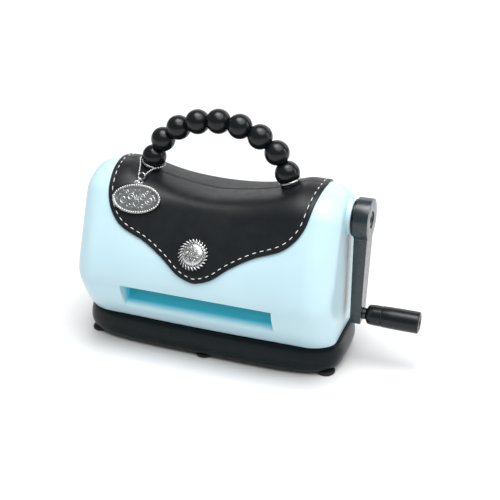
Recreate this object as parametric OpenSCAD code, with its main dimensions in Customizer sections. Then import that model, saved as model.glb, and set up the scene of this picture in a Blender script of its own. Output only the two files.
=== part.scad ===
// Hand-cranked embossing and die-cutting press in a handbag-shaped housing.
// Millimetres. +X is the crank side, -Y the front with the feed slot, +Z is up.
// The origin is on the resting plane, under the middle of the base.

/* [Housing] */
// Length of the housing between its end walls
shell_l = 214; // [210:1:220]
// Depth of the housing at its belly, front to rear
shell_d = 123; // [121:1:126]
// Height that the rounded top would have in the middle of the saddle
saddle_z = 137.6; // [137:0.1:139]
// Height to which the saddle's middle is flattened
scoop_z = 131.4; // [131.2:0.1:133]
// Height of the top near the two ends
horn_z = 147.6; // [147:0.1:149]
// Radius that rounds the end walls into the front, top and rear
end_round = 22; // [20:1:24]
// Wall thickness of the housing
wall = 2.5; // [2:0.1:3]

/* [Feed slot] */
// Width of the slot, for a platform that takes a five inch folder
slot_w = 127; // [120:1:130]
// Height of the slot's upper edge
slot_top = 64; // [62:0.5:66]

/* [Flap] */
// Thickness of the leather-look flap
flap_t = 1.4; // [1.2:0.1:1.8]
// Air between the flap and the housing
flap_gap = 0.3; // [0.2:0.1:0.4]

/* [Base] */
// Thickness of the tray's floor
floor_t = 4.6; // [4:0.1:5]
// Height of the rubber feet under the tray
foot_h = 2.4; // [2.2:0.1:3]
// Radius of a rubber foot
foot_r = 7.6; // [6:0.1:8]

/* [Handle] */
// Radius of a handle bead
bead_r = 9.8; // [9.2:0.1:10]
// Radius of the rod through the beads
core_r = 2.5; // [2:0.25:3]

/* [Rollers and gears] */
// Radius of both rollers
roller_r = 13; // [12.5:0.1:13.2]
// Gear module
gear_m = 2; // [2:1:2]
// Teeth on the crank pinion
pinion_n = 13; // [13:1:13]
// Teeth on the drive gear
drive_n = 39; // [39:1:39]
// Teeth on each of the two meshed roller gears
sync_n = 19; // [19:1:19]

/* [Crank] */
// Height of the crank axis
crank_z = 124; // [124:1:124]
// Distance from the crank axis down to the grip axis
crank_throw = 81; // [75:0.5:83]
// Length of the turning grip
grip_l = 42; // [38:1:60]
// Radius of the grip at its outer end
grip_r = 8.7; // [7.5:0.1:9.5]

/* [Hidden] */
$fn = 64;
half_l = shell_l / 2;
belly = shell_d / 2;
edge_z = 26;                    // lower edge of the housing, on the tray's rim
edge_y = 39;                    // half depth of that edge at the ends
edge_bow = 2;                   // how far its middle bows out
waist_z = 90;                   // above this the saddle lowers the middle
saddle_l = 76;                  // distance from the middle to the saddle's ends
top_share = 0.6;                // how much of the end rounding the top gets
scoop_blend = 6;                // how softly the flat top of the saddle meets its sides
front_x = 1.8;                  // the slot and the flap sit this far towards the crank
flat_l = half_l - end_round;
run = 0.05;                     // radial clearance of a running fit
snug = 0.03;                    // radial clearance of a fixed fit
frame_x = 74;                   // inner face of a side frame
frame_t = 3;
upper_z = crank_z - gear_m * (pinion_n + drive_n) / 2;
lower_z = upper_z - gear_m * sync_n;
table_z = lower_z + roller_r;   // the platform slides over the tables into the nip
journal_r = 6;
shaft_r = 5;
drive_x = 81;                   // inner face of the drive gear and the pinion
gear_w = 8;
sync_x = -87;
sync_w = 6;
boss_r = 13.75;
boss_x = 110.6;
boss_wall = 108;                // the boss is hollow up to here
collar_x = 111;
arm_x = 113.2;                  // inner face of the crank arm
hub_t = 11;
arm_top_t = 10.4;               // the arm thins from here under the hub
arm_end_t = 8.4;                // to here at its lower end
grip_z = crank_z - crank_throw;
grip_x = arm_x + 11.8;
chute_y = 45;                   // inner end of the housing's feed chute
frame_floor = foot_h + floor_t;
tie_r = 4;
tie_points = [[26, 18], [24, 100]];
bridge_z = 132;
bridge_t = 2.2;
bridge_low = 125.6;             // underside of the strap's middle, under the saddle
bridge_w = 17.4;
bush_t = 1.5;                   // wall of a bush, and
bush_flange = 2.6;              // how far its flange stands out from the bore
foot_points = [[0, 0], [0, -36.5], [0, 36.5], for (x = [-100.5, 100.5], y = [-27.5, 27.5]) [x, y]];
flange_holes = [[64, 22], [64, -22], [-64, 22], [-64, -22]];
standoff = [98, 14];            // place of the posts that hold the housing to the tray
post_points = [[95, 56, 52.5], [95, 103, 38]];   // X, Z and depth of the housing's screw posts
post_r = 5.5;
m4_free = 2.05;                 // radius of the clearance hole for a 4 mm screw
m4_core = 1.97;                 // radius of its shank where it is screwed in
small_core = 1.57;              // radius of a 3 mm screw's shank
strap_screws = [12, 112];       // Y and Z of the screws that hold the strap to the frames
table_screws = [30, table_z - 8];   // and of those that hold the feed tables

// Housing profile, half depth and height, as three cubic curves from the lower edge to the ridge.
function bow(x) = edge_bow * max(0, 1 - pow(x / 98, 2));
function profile_curves(x) = let (b = bow(x), e = edge_y + b) [
    [[e, edge_z], [e + 9 - 0.3 * b, edge_z + 10], [belly, 52], [belly, 66]],
    [[belly, 66], [belly, 84], [43.5, 112.6], [33.5, 130]],
    [[33.5, 130], [28, 139.5], [15, 147], [0, 147]]];
function unit(v) = v / norm(v);
function smooth(t) = let (c = min(1, max(0, t))) c * c * (3 - 2 * c);
function cubic(p, t) = p[0] * pow(1 - t, 3) + 3 * p[1] * t * pow(1 - t, 2)
    + 3 * p[2] * t * t * (1 - t) + p[3] * pow(t, 3);
function cubic_dir(p, t) = (p[1] - p[0]) * pow(1 - t, 2) + 2 * (p[2] - p[1]) * t * (1 - t)
    + (p[3] - p[2]) * t * t;
// The saddle's top is flattened to this height, which rises towards the handle's ends.
function scoop(x) = scoop_z + 6.8 * pow(abs(x) / 47, 1.6) + 4 * pow(x / 70, 8);
// The lesser of a and b, blended where they are closer than k.
function lesser(a, b, k) = let (h = min(1, max(0, 0.5 + 0.5 * (b - a) / k)))
    b * (1 - h) + a * h - k * h * (1 - h);
function top_z(x) = saddle_z + (horn_z - saddle_z) * smooth(pow(min(1, abs(x) / saddle_l), 1.8));
function lowered(x, z) = z < waist_z ? z
    : waist_z + (z - waist_z) * (top_z(x) - waist_z) / (147 - waist_z);
// Outward normal of the profile at s, 0 at the lower edge, 3 at the ridge.
function profile_n(x, s) = let (
    i = min(2, floor(s)), d = cubic_dir(profile_curves(x)[i], s - i), l = norm(d))
    [d[1] / l, -d[0] / l];
// A point of the front half, raised by off along the normal.
function skin_point(x, s, off = 0) = let (
    i = min(2, floor(s)),
    p = cubic(profile_curves(x)[i], s - i),
    z = lowered(x, p[1]),
    n = profile_n(x, s),
    r = end_round + off,
    e = max(0, abs(x) - flat_l),
    inset = r - sqrt(max(0, r * r - e * e)),
    m = off - inset * (1 + (top_share - 1) * smooth((z - waist_z) / 50)))
    [x, -(p[0] + m * n[0]),
        lesser(z + m * n[1] * smooth((z - edge_z) / 30), scoop(x) + off, scoop_blend)];

// Columns along the housing: even steps, then arc steps round each end.
function end_steps(off, count) = [for (k = [1:count])
    flat_l + (end_round + off) * sin(90 * k / count)];
function columns(off, even = 32, arc = 6) = let (e = end_steps(off, arc)) concat(
    [for (k = [arc - 1:-1:0]) -e[k]],
    [for (k = [0:even]) flat_l * (2 * k / even - 1)],
    e);
// A grid of one skin: rows up the profile, with a column on the parting plane at both ends.
function skin_grid(off, rows = 22) = let (xs = columns(off)) [for (i = [0:rows])
    let (line = [for (x = xs) skin_point(x, 3 * i / rows, off)],
         a = line[0], b = line[len(line) - 1])
    concat([[a[0], 0, a[2]]], line, [[b[0], 0, b[2]]])];

// Two grids joined into a closed sheet. With pinched, the last row's end points are one with
// their neighbours.
function sheet_id(i, j, rows, cols, pinched) = (pinched && i == rows)
    ? i * (cols + 1) + min(cols - 1, max(1, j)) : i * (cols + 1) + j;
module sheet(outer, inner, pinched = false) {
    rows = len(outer) - 1;
    cols = len(outer[0]) - 1;
    shift = (rows + 1) * (cols + 1);
    function v(i, j) = sheet_id(i, j, rows, cols, pinched);
    quads = concat(
        [for (i = [0:rows - 1], j = [0:cols - 1])
            [v(i, j), v(i + 1, j), v(i + 1, j + 1), v(i, j + 1)]],
        [for (i = [0:rows - 1], j = [0:cols - 1])
            shift * [1, 1, 1, 1] + [v(i, j), v(i, j + 1), v(i + 1, j + 1), v(i + 1, j)]],
        [for (j = [0:cols - 1])
            [v(0, j), v(0, j + 1), shift + v(0, j + 1), shift + v(0, j)]],
        [for (j = [0:cols - 1])
            [v(rows, j + 1), v(rows, j), shift + v(rows, j), shift + v(rows, j + 1)]],
        [for (i = [0:rows - 1])
            [v(i + 1, 0), v(i, 0), shift + v(i, 0), shift + v(i + 1, 0)]],
        [for (i = [0:rows - 1])
            [v(i, cols), v(i + 1, cols), shift + v(i + 1, cols), shift + v(i, cols)]]);
    halves = [for (q = quads, t = [[q[0], q[1], q[2]], [q[0], q[2], q[3]]])
        if (t[0] != t[1] && t[1] != t[2] && t[2] != t[0]) t];
    polyhedron(points = concat([for (r = outer, p = r) p], [for (r = inner, p = r) p]),
        faces = halves);
}

// A closed solid through rings of equal length, with a flat face on its first and last ring.
module loft(rings) {
    n = len(rings[0]);
    last = len(rings) - 1;
    sides = [for (i = [0:last - 1], k = [0:n - 1], t = [0, 1])
        let (a = i * n + k, b = i * n + (k + 1) % n, c = b + n, d = a + n)
        t == 0 ? [a, c, b] : [a, d, c]];
    polyhedron(points = [for (r = rings, p = r) p], faces = concat(sides,
        [[for (k = [0:n - 1]) k]], [[for (k = [n - 1:-1:0]) last * n + k]]));
}

// The axis system of the front skin at (x, s): its X is across, Y up the skin, Z outward.
// A frame is those three directions and the place of its origin.
function skin_frame(x, s, off) = let (
    step = 0.01,
    along = skin_point(x + step, s, off) - skin_point(x - step, s, off),
    up = skin_point(x, s + step, off) - skin_point(x, s - step, off),
    z = unit(cross(along, up)),
    u = unit(along))
    [u, cross(z, u), z, skin_point(x, s, off)];
// The frame f turned by a degrees about its own Z.
function turned(f, a) =
    [cos(a) * f[0] + sin(a) * f[1], cos(a) * f[1] - sin(a) * f[0], f[2], f[3]];
function from_frame(f, p) = f[3] + p[0] * f[0] + p[1] * f[1] + p[2] * f[2];
module in_frame(f) {
    multmatrix([for (k = [0:2]) [f[0][k], f[1][k], f[2][k], f[3][k]]]) children();
}
module on_skin(x, s, off) in_frame(skin_frame(x, s, off)) children();

module rod_x(r, x1, x2, y = 0, z = 0) {
    translate([x1, y, z]) rotate([0, 90, 0]) cylinder(r = r, h = x2 - x1);
}
module rod_y(r, y1, y2, x, z) {
    translate([x, y1, z]) rotate([-90, 0, 0]) cylinder(r = r, h = y2 - y1);
}
module rod_z(r, z1, z2, x = 0, y = 0) {
    translate([x, y, z1]) cylinder(r = r, h = z2 - z1);
}
// A plate in the YZ plane from x1 to x2.
module plate_x(points, x1, x2) {
    translate([x1, 0, 0]) rotate([90, 0, 90]) linear_extrude(x2 - x1) polygon(points);
}
// A shape turned about an X axis, from points (distance along X, radius).
module turned_x(points, z = 0) {
    translate([0, 0, z]) rotate([0, 90, 0]) rotate_extrude()
        polygon([for (p = points) [p[1], p[0]]]);
}

// ---- Base ----
// A rounded plan outline at height z: a superellipse, so its long sides bow slightly.
base_power = 4.5;
function plan(z, a, b, n = 72) = [for (k = [0:n - 1])
    let (c = cos(360 * k / n), s = sin(360 * k / n))
    [sign(c) * a * pow(abs(c), 2 / base_power), sign(s) * b * pow(abs(s), 2 / base_power), z]];
// Height, half length and half depth of the tray, up the outside and down the inside.
tray_rings = [[foot_h, 106.8, 40.8], [3.6, 109.3, 43], [8, 111.3, 45], [12, 112, 45.7],
    [17, 111.7, 45.4], [22, 110.4, 44.2], [edge_z, 108.6, 42.6],
    [edge_z, 102.6, 34.8], [edge_z - 3.5, 102.6, 34.8], [edge_z - 4.5, 106.5, 40.5],
    [9, 107.5, 41.5], [frame_floor, 105, 39.5]];
module each_standoff() {
    for (i = [-1, 1], j = [-1, 1]) translate([i * standoff[0], j * standoff[1], 0]) children();
}
module base_tray() {
    color([0.1, 0.11, 0.12]) difference() {
        union() {
            loft([for (r = tray_rings) plan(r[0], r[1], r[2])]);
            each_standoff() rod_z(5, frame_floor - 1, edge_z);
        }
        each_standoff() rod_z(2.2, 0, edge_z + 1);
        each_standoff() rod_z(4.2, 0, 9);
        for (p = flange_holes) rod_z(2.1, 0, 12, p[0], p[1]);
        for (p = foot_points) rod_z(2.35, 0, frame_floor, p[0], p[1]);
    }
}
module rubber_feet() {
    color([0.05, 0.05, 0.05]) for (p = foot_points)
        translate([p[0], p[1], 0]) rotate_extrude() polygon([[0, 0], [foot_r - 0.8, 0],
            [foot_r, 0.8], [foot_r, foot_h], [2.3, foot_h], [2.3, frame_floor - 0.2],
            [0, frame_floor - 0.2]]);
}
// A machine screw pointing up: head height h, shank to the given height.
module screw(head_r, head_h, shank, length) {
    cylinder(r = head_r, h = head_h);
    cylinder(r = shank, h = length);
}
module frame_base_screws() {
    color("silver") for (p = flange_holes) translate([p[0], p[1], foot_h - 2])
        screw(3.6, 2, 2, frame_floor + 6 - foot_h + 2);
}
module frame_nuts() {
    color("silver") for (p = flange_holes) translate([p[0], p[1], frame_floor + frame_t])
        difference() {
            cylinder(r = 4, h = 3, $fn = 6);
            translate([0, 0, -1]) cylinder(r = 2 + snug, h = 5);
        }
}
module shell_base_screws() {
    color("silver") each_standoff() translate([0, 0, 6.4])
        screw(3.8, 2.6, small_core, edge_z + 12 - 6.4);
}

// ---- Frame ----
// Half outline of a side frame, half depth by height. Both frames are the same stamping, so
// the left one has the crank shaft's hole too and leaves it empty.
frame_edge = [[31, frame_floor], [31, 27], [43, 40], [50, 54], [51, 72], [47, 90], [37, 110],
    [27, 126], [20, bridge_z]];
module side_frame(dir) {
    x1 = frame_x;
    x2 = frame_x + frame_t;
    color([0.62, 0.64, 0.66]) mirror([dir < 0 ? 1 : 0, 0, 0]) difference() {
        union() {
            plate_x(concat(frame_edge, [for (k = [len(frame_edge) - 1:-1:0])
                [-frame_edge[k][0], frame_edge[k][1]]]), x1, x2);
            translate([54, -31, frame_floor]) cube([x2 - 54, 62, frame_t]);
        }
        rod_x(journal_r + bush_t + snug, x1 - 1, x2 + 1, 0, upper_z);
        rod_x(journal_r + bush_t + snug, x1 - 1, x2 + 1, 0, lower_z);
        rod_x(shaft_r + bush_t + snug, x1 - 1, x2 + 1, 0, crank_z);
        for (p = concat(tie_points, [table_screws, strap_screws]), j = [-1, 1])
            rod_x(m4_free, x1 - 1, x2 + 1, j * p[0], p[1]);
        for (p = flange_holes) rod_z(m4_free, 0, frame_floor + frame_t + 1, p[0], p[1]);
    }
}
module side_frame_left() side_frame(-1);
module side_frame_right() side_frame(1);
module tie_rod(j, k) {
    p = tie_points[k];
    color("silver") difference() {
        rod_x(tie_r, -frame_x, frame_x, j * p[0], p[1]);
        rod_x(1.6, -frame_x - 1, -frame_x + 14, j * p[0], p[1]);
        rod_x(1.6, frame_x - 14, frame_x + 1, j * p[0], p[1]);
    }
}
module tie_rod_front_lower() tie_rod(-1, 0);
module tie_rod_rear_lower() tie_rod(1, 0);
module tie_rod_front_upper() tie_rod(-1, 1);
module tie_rod_rear_upper() tie_rod(1, 1);
// Screws through both frames, pointing inward.
module frame_screws() {
    outer = frame_x + frame_t;
    color("silver") for (i = [0, 1]) mirror([i, 0, 0]) {
        for (p = tie_points, j = [-1, 1]) {
            rod_x(3.5, outer, outer + 2.2, j * p[0], p[1]);
            rod_x(small_core, outer - 12, outer + 1, j * p[0], p[1]);
        }
        for (j = [-1, 1]) {
            rod_x(3.5, outer, outer + 2.2, j * table_screws[0], table_screws[1]);
            rod_x(m4_core, outer - 9, outer + 1, j * table_screws[0], table_screws[1]);
            rod_x(3.4, frame_x - 2.2, frame_x, j * strap_screws[0], strap_screws[1]);
            rod_x(m4_core, frame_x - 1, outer + 3, j * strap_screws[0], strap_screws[1]);
        }
    }
}
// Flanged bush in a side frame, flange inward.
module bushing(r, z, x1, x2) {
    color([0.72, 0.55, 0.28]) turned_x([
        [x1 - 1.2, r + run], [x1 - 1.2, r + bush_flange], [x1, r + bush_flange],
        [x1, r + bush_t], [x2, r + bush_t], [x2, r + run]], z);
}
module roller_bushings() {
    for (i = [0, 1], z = [upper_z, lower_z]) mirror([i, 0, 0])
        bushing(journal_r, z, frame_x, frame_x + frame_t);
}
module crank_bushings() {
    bushing(shaft_r, crank_z, frame_x, frame_x + frame_t);
    bushing(shaft_r, crank_z, boss_wall, boss_x);
}
module feed_table(dir) {
    x = frame_x - 0.1;
    color([0.62, 0.83, 0.87]) mirror([0, dir > 0 ? 1 : 0, 0]) difference() {
        union() {
            translate([-x, -chute_y + 0.5, table_z - 3]) cube([2 * x, chute_y - 0.5 - 15, 3]);
            for (i = [0, 1]) mirror([i, 0, 0])
                translate([x - 3, -40, table_z - 13]) cube([3, 20, 11]);
        }
        rod_x(2, -x - 1, x + 1, -table_screws[0], table_screws[1]);
        // relief over the lower roller
        rod_x(roller_r + 0.5, -roller_l / 2 - 1, roller_l / 2 + 1, 0, lower_z);
    }
}
module feed_table_front() feed_table(-1);
module feed_table_rear() feed_table(1);
// Steel strap over both frames that carries the handle; its middle drops under the saddle.
function strap_line(end, up) = [[end, bridge_z + up], [-48, bridge_z + up],
    [-34, bridge_low + up], [34, bridge_low + up], [48, bridge_z + up], [-end, bridge_z + up]];
module handle_bridge() {
    x = frame_x + frame_t;
    color([0.62, 0.64, 0.66]) difference() {
        union() {
            translate([0, bridge_w / 2, 0]) rotate([90, 0, 0]) linear_extrude(bridge_w)
                polygon(concat(strap_line(-x - 3, 0), [for (k = [5:-1:0])
                    strap_line(-x - 3, bridge_t)[k]]));
            for (i = [0, 1]) mirror([i, 0, 0])
                translate([x, -16, 106]) cube([3, 32, bridge_z + bridge_t - 106]);
        }
        for (i = [0, 1]) mirror([i, 0, 0]) {
            rod_x(8.5, x - 1, x + 4, 0, crank_z);
            for (j = [-1, 1]) rod_x(2, x - 1, x + 4, j * strap_screws[0], strap_screws[1]);
            translate([cup_x, 0, bridge_z - 0.01]) cylinder(r1 = 4.2, r2 = 2.1, h = 2);
            rod_z(2.1, bridge_z - 1, bridge_z + 4, cup_x);
        }
    }
}

// ---- Rollers and gears ----
pressure = 20;
addendum = 0.8;                 // in modules: short teeth, so the small pinion clears
backlash = 0.16;
function involute(a) = tan(a) * 180 / PI - a;
// One tooth's right flank at radius r: the angle from the tooth's middle.
function flank(r, n) = let (rb = gear_m * n / 2 * cos(pressure))
    (90 - backlash / gear_m * 90 / PI) / n + involute(pressure) - involute(acos(min(1, rb / r)));
function gear_outline(n, start) = let (
    rp = gear_m * n / 2, rb = rp * cos(pressure), ra = rp + addendum * gear_m,
    rf = rp - 1.1 * gear_m, r0 = max(rb, rf),
    radii = concat(rf < rb ? [rf] : [], [for (k = [0:4]) r0 + (ra - r0) * k / 4]))
    [for (t = [0:n - 1], side = [-1, 1], k = [0:len(radii) - 1])
        let (r = radii[side < 0 ? k : len(radii) - 1 - k],
             a = start + 360 * t / n + side * flank(max(r, r0), n))
        r * [cos(a), sin(a)]];
// Toothed wheel along X from x1, centred at height z; start is the angle of a tooth, in the YZ
// plane from +Y; bore and flat are the D-shaped hole's radius and its flat's distance.
module gear(n, x1, width, z, start, bore, flat) {
    translate([x1, 0, z]) rotate([90, 0, 90]) linear_extrude(width) difference() {
        polygon(gear_outline(n, start));
        intersection() {
            circle(bore);
            translate([-bore - 1, -bore - 1]) square([2 * bore + 2, bore + 1 + flat]);
        }
    }
}
roller_l = 140;
journal_flat = journal_r - 1;   // distance from the axis to the flat for a gear
shaft_flat = shaft_r - 0.8;
clip_groove = 0.8;
clip_w = 1;
module clip(x, r, z) {
    translate([x, 0, z]) rotate([90, 0, 90]) linear_extrude(clip_w) difference() {
        circle(r + 2.2);
        circle(r - clip_groove + snug);
        translate([-1.5, -r - 4]) square([3, r + 2]);
    }
}
module clip_cut(x, r, z) {
    translate([x - 0.05, 0, z]) rotate([0, 90, 0]) difference() {
        cylinder(r = r + 1, h = clip_w + 0.1);
        translate([0, 0, -1]) cylinder(r = r - clip_groove, h = clip_w + 3);
    }
}
module roller(z, left, right) {
    b = roller_l / 2;
    turned_x([[left, 0], [left, journal_r], [-b - 1.2, journal_r], [-b - 1.2, journal_r + 3],
        [-b, journal_r + 3], [-b, roller_r - 0.6], [-b + 0.6, roller_r], [b - 0.6, roller_r],
        [b, roller_r - 0.6], [b, journal_r + 3], [b + 1.2, journal_r + 3],
        [b + 1.2, journal_r], [right, journal_r], [right, 0]], z);
}
module flat_cut(x1, x2, flat, z) {
    translate([x1, -10, z + flat]) cube([x2 - x1, 20, 10]);
}
upper_left = -90;
upper_right = drive_x + gear_w + 3;
lower_right = 79.6;
module upper_roller() {
    color([0.75, 0.76, 0.78]) difference() {
        roller(upper_z, upper_left, upper_right);
        flat_cut(sync_x - 6, sync_x + sync_w, journal_flat, upper_z);
        flat_cut(drive_x, drive_x + gear_w + 6, journal_flat, upper_z);
        clip_cut(drive_x + gear_w + 0.1, journal_r, upper_z);
        clip_cut(sync_x - clip_w - 0.1, journal_r, upper_z);
    }
}
module lower_roller() {
    color([0.75, 0.76, 0.78]) difference() {
        roller(lower_z, upper_left, lower_right);
        flat_cut(sync_x - 6, sync_x + sync_w, journal_flat, lower_z);
        clip_cut(frame_x + frame_t + 0.4, journal_r, lower_z);
        clip_cut(sync_x - clip_w - 0.1, journal_r, lower_z);
    }
}
module upper_circlips() {
    color([0.3, 0.3, 0.32]) {
        clip(drive_x + gear_w + 0.1, journal_r, upper_z);
        clip(sync_x - clip_w - 0.1, journal_r, upper_z);
    }
}
module lower_circlips() {
    color([0.3, 0.3, 0.32]) {
        clip(frame_x + frame_t + 0.4, journal_r, lower_z);
        clip(sync_x - clip_w - 0.1, journal_r, lower_z);
    }
}
module drive_gear() {
    color([0.55, 0.56, 0.58]) gear(drive_n, drive_x, gear_w, upper_z, 90,
        journal_r + snug, journal_flat + snug);
}
module crank_pinion() {
    color([0.5, 0.51, 0.53]) gear(pinion_n, drive_x, gear_w, crank_z, -90 + 180 / pinion_n,
        shaft_r + snug, shaft_flat + snug);
}
module upper_sync_gear() {
    color([0.55, 0.56, 0.58]) gear(sync_n, sync_x, sync_w, upper_z, -90,
        journal_r + snug, journal_flat + snug);
}
module lower_sync_gear() {
    color([0.55, 0.56, 0.58]) gear(sync_n, sync_x, sync_w, lower_z, 90 + 180 / sync_n,
        journal_r + snug, journal_flat + snug);
}

// ---- Crank ----
crank_left = 70.5;                 // the shaft runs from the right frame out through the boss
nose_r = 4;
module crank_shaft() {
    color("silver") difference() {
        turned_x([[crank_left, 0], [crank_left, shaft_r], [arm_x, shaft_r], [arm_x, nose_r],
            [arm_x + hub_t - 3.2, nose_r], [arm_x + hub_t - 3.2, 0]], crank_z);
        flat_cut(drive_x, drive_x + gear_w, shaft_flat, crank_z);
        clip_cut(crank_left + 1.2, shaft_r, crank_z);
        rod_x(1.6, arm_x - 4, arm_x + hub_t, 0, crank_z);
    }
}
module crank_circlip() {
    color([0.3, 0.3, 0.32]) clip(crank_left + 1.2, shaft_r, crank_z);
}
module crank_collar() {
    color([0.12, 0.13, 0.14]) turned_x([[collar_x, shaft_r + snug], [collar_x, 14],
        [collar_x + 0.5, 14.5], [arm_x - 0.1, 14.5], [arm_x - 0.1, shaft_r + snug]], crank_z);
}
hub_r = 16.2;
arm_top_w = 20;
arm_end_w = 16;
arm_end_z = grip_z - 6;
arm_top_z = crank_z - 10;
module crank_arm() {
    lean = atan((arm_top_t - arm_end_t) / (arm_top_z - arm_end_z));
    color([0.23, 0.26, 0.28]) difference() {
        union() {
            rod_x(hub_r, arm_x, arm_x + hub_t, 0, crank_z);
            difference() {
                plate_x([[-arm_top_w / 2, arm_top_z], [arm_top_w / 2, arm_top_z],
                    [arm_end_w / 2, arm_end_z], [-arm_end_w / 2, arm_end_z]],
                    arm_x, arm_x + arm_top_t);
                translate([arm_x + arm_end_t, -20, arm_end_z]) rotate([0, lean, 0])
                    translate([0, 0, -10]) cube([10, 40, 110]);
            }
        }
        rod_x(nose_r + snug, arm_x - 1, arm_x + hub_t + 1, 0, crank_z);
        rod_x(6.6, arm_x + hub_t - 3, arm_x + hub_t + 1, 0, crank_z);
        rod_x(pin_r + snug, arm_x - 1, arm_x + hub_t + 1, 0, grip_z);
    }
}
module crank_bolt() {
    x = arm_x + hub_t - 3;
    color([0.15, 0.16, 0.17]) difference() {
        union() {
            rod_x(6.2, x, x + 2.4, 0, crank_z);
            rod_x(small_core, arm_x - 2, x + 1, 0, crank_z);
        }
        translate([x + 1.2, 0, crank_z]) rotate([0, 90, 0]) cylinder(r = 2.6, h = 2, $fn = 6);
    }
}
pin_r = 3;
module grip_pin() {
    end = grip_x + grip_l;
    neck = arm_x + arm_end_t + 0.3;
    color("silver") turned_x([[arm_x + 0.5, 0], [arm_x + 0.5, pin_r], [neck, pin_r],
        [neck, 4.6], [grip_x - 0.3, 4.6], [grip_x - 0.3, pin_r], [end - 5, pin_r],
        [end - 5, 5], [end - 2.6, 5], [end - 2.6, 0]], grip_z);
}
module crank_grip() {
    end = grip_x + grip_l;
    color([0.13, 0.15, 0.16]) turned_x([[grip_x, pin_r + run], [grip_x, 5.4],
        [grip_x + 1.6, grip_r - 0.8], [grip_x + 11, grip_r - 0.4], [grip_x + 11.3, grip_r - 0.7],
        [grip_x + 12.1, grip_r - 0.7], [grip_x + 12.4, grip_r - 0.3], [grip_x + 26, grip_r],
        [end - 1.6, grip_r], [end - 0.5, grip_r - 0.5], [end, grip_r - 1.6], [end, 5.6],
        [end - 5.3, 5.6], [end - 5.3, pin_r + run]], grip_z);
}
module grip_cap() {
    end = grip_x + grip_l;
    color([0.1, 0.11, 0.12]) turned_x([[end - 2.3, 0], [end - 2.3, 5.6], [end - 0.3, 5.6],
        [end - 0.3, 2.4], [end - 1.3, 2], [end - 1.3, 0]], grip_z);
}

// ---- Handle ----
// Bead centres from the middle outward, X and Z.
bead_path = [[0, 187.6], [17.55, 185.4], [34, 179], [47.8, 167.9], [56.4, 152.5]];
bead_last = bead_path[4];
handle_lean = 19.3;             // the handle's ends lean this far from upright
handle_end = [sin(handle_lean), -cos(handle_lean)];
ring_near = 5.2;                // from the last bead's centre along the handle's end
ring_far = 7.6;
cup_far = 12;
cup_r = 7.9;
cup_x = bead_last[0] + cup_far * handle_end[0];
bore_gap = 0.3;                 // air between the rod and a bead's bore
function handle_point(k) = k < 0 ? [-bead_path[-k][0], bead_path[-k][1]] : bead_path[k];
// Places children with +Z along the handle's right or left end, from the last bead.
module at_handle_end(dir) {
    mirror([dir < 0 ? 1 : 0, 0, 0]) translate([bead_last[0], 0, bead_last[1]])
        rotate([0, 180 - handle_lean, 0]) children();
}
// Places children at p with +Z towards q, both X and Z pairs.
module aimed(p, q) {
    translate([p[0], 0, p[1]]) rotate([0, 90 - atan2(q[1] - p[1], q[0] - p[0]), 0]) children();
}
// Direction of the handle at bead k, from left to right.
function handle_dir(k) = let (
    before = k > -4 ? handle_point(k) - handle_point(k - 1) : [handle_end[0], -handle_end[1]],
    after = k < 4 ? handle_point(k + 1) - handle_point(k) : handle_end)
    unit(unit(before) + unit(after));
// Bead number k, -4 at the left to 4 at the right.
module bead(k) {
    here = handle_point(k);
    others = [for (n = [k - 1, k + 1]) if (abs(n) <= 4) handle_point(n)];
    dir = handle_dir(k);
    color([0.06, 0.06, 0.07]) difference() {
        aimed(here, here + dir) sphere(r = bead_r);
        for (o = others) aimed(here, o) {
            translate([0, 0, -0.6]) cylinder(r = core_r + bore_gap, h = bead_r + 1);
            translate([0, 0, norm(o - here) / 2]) cylinder(r = bead_r, h = bead_r);
        }
        if (abs(k) == 4) at_handle_end(k) {
            translate([0, 0, -0.6]) cylinder(r = core_r + bore_gap, h = bead_r + 1);
            translate([0, 0, ring_near]) cylinder(r = bead_r, h = bead_r);
        }
    }
}
module bead_1() bead(-4);
module bead_2() bead(-3);
module bead_3() bead(-2);
module bead_4() bead(-1);
module bead_5() bead(0);
module bead_6() bead(1);
module bead_7() bead(2);
module bead_8() bead(3);
module bead_9() bead(4);
// The rod's section at p, square to the direction d.
function rod_ring(p, d, sides = 24) = [for (a = [0:sides - 1]) let (
    u = core_r * cos(360 * a / sides), v = core_r * sin(360 * a / sides))
    [p[0] + d[1] * u, v, p[1] - d[0] * u]];
module handle_core() {
    tail = (ring_far + 3) * handle_end;
    color("silver") loft(concat(
        [rod_ring([-bead_last[0] - tail[0], bead_last[1] + tail[1]],
            [handle_end[0], -handle_end[1]])],
        [for (k = [-4:4]) rod_ring(handle_point(k), handle_dir(k))],
        [rod_ring(bead_last + tail, handle_end)]));
}
module handle_ring(dir) {
    w = ring_far - ring_near;
    color([0.75, 0.76, 0.78]) at_handle_end(dir) translate([0, 0, ring_near])
        rotate_extrude() polygon([[core_r + snug, 0], [8.2, 0], [8.6, 0.4], [8.8, w / 2],
            [8.6, w - 0.4], [8.2, w], [core_r + snug, w]]);
}
module handle_ring_left() handle_ring(-1);
module handle_ring_right() handle_ring(1);
module handle_cup(dir) {
    foot_z = bridge_z + bridge_t;
    color([0.08, 0.08, 0.09]) difference() {
        union() {
            at_handle_end(dir) translate([0, 0, ring_far])
                cylinder(r = cup_r, h = cup_far - ring_far);
            rod_z(6.6, foot_z, foot_z + 7.5, dir * cup_x);
        }
        at_handle_end(dir) cylinder(r = core_r + snug, h = ring_far + 3.1);
        rod_z(1.65, foot_z - 1, foot_z + 6, dir * cup_x);
    }
}
module handle_cup_left() handle_cup(-1);
module handle_cup_right() handle_cup(1);
module handle_screws() {
    color("silver") for (i = [-1, 1]) translate([i * cup_x, 0, bridge_z]) {
        cylinder(r1 = 4.1, r2 = 1.95, h = 2);
        cylinder(r = 1.6, h = bridge_t + 5);
    }
}
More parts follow.
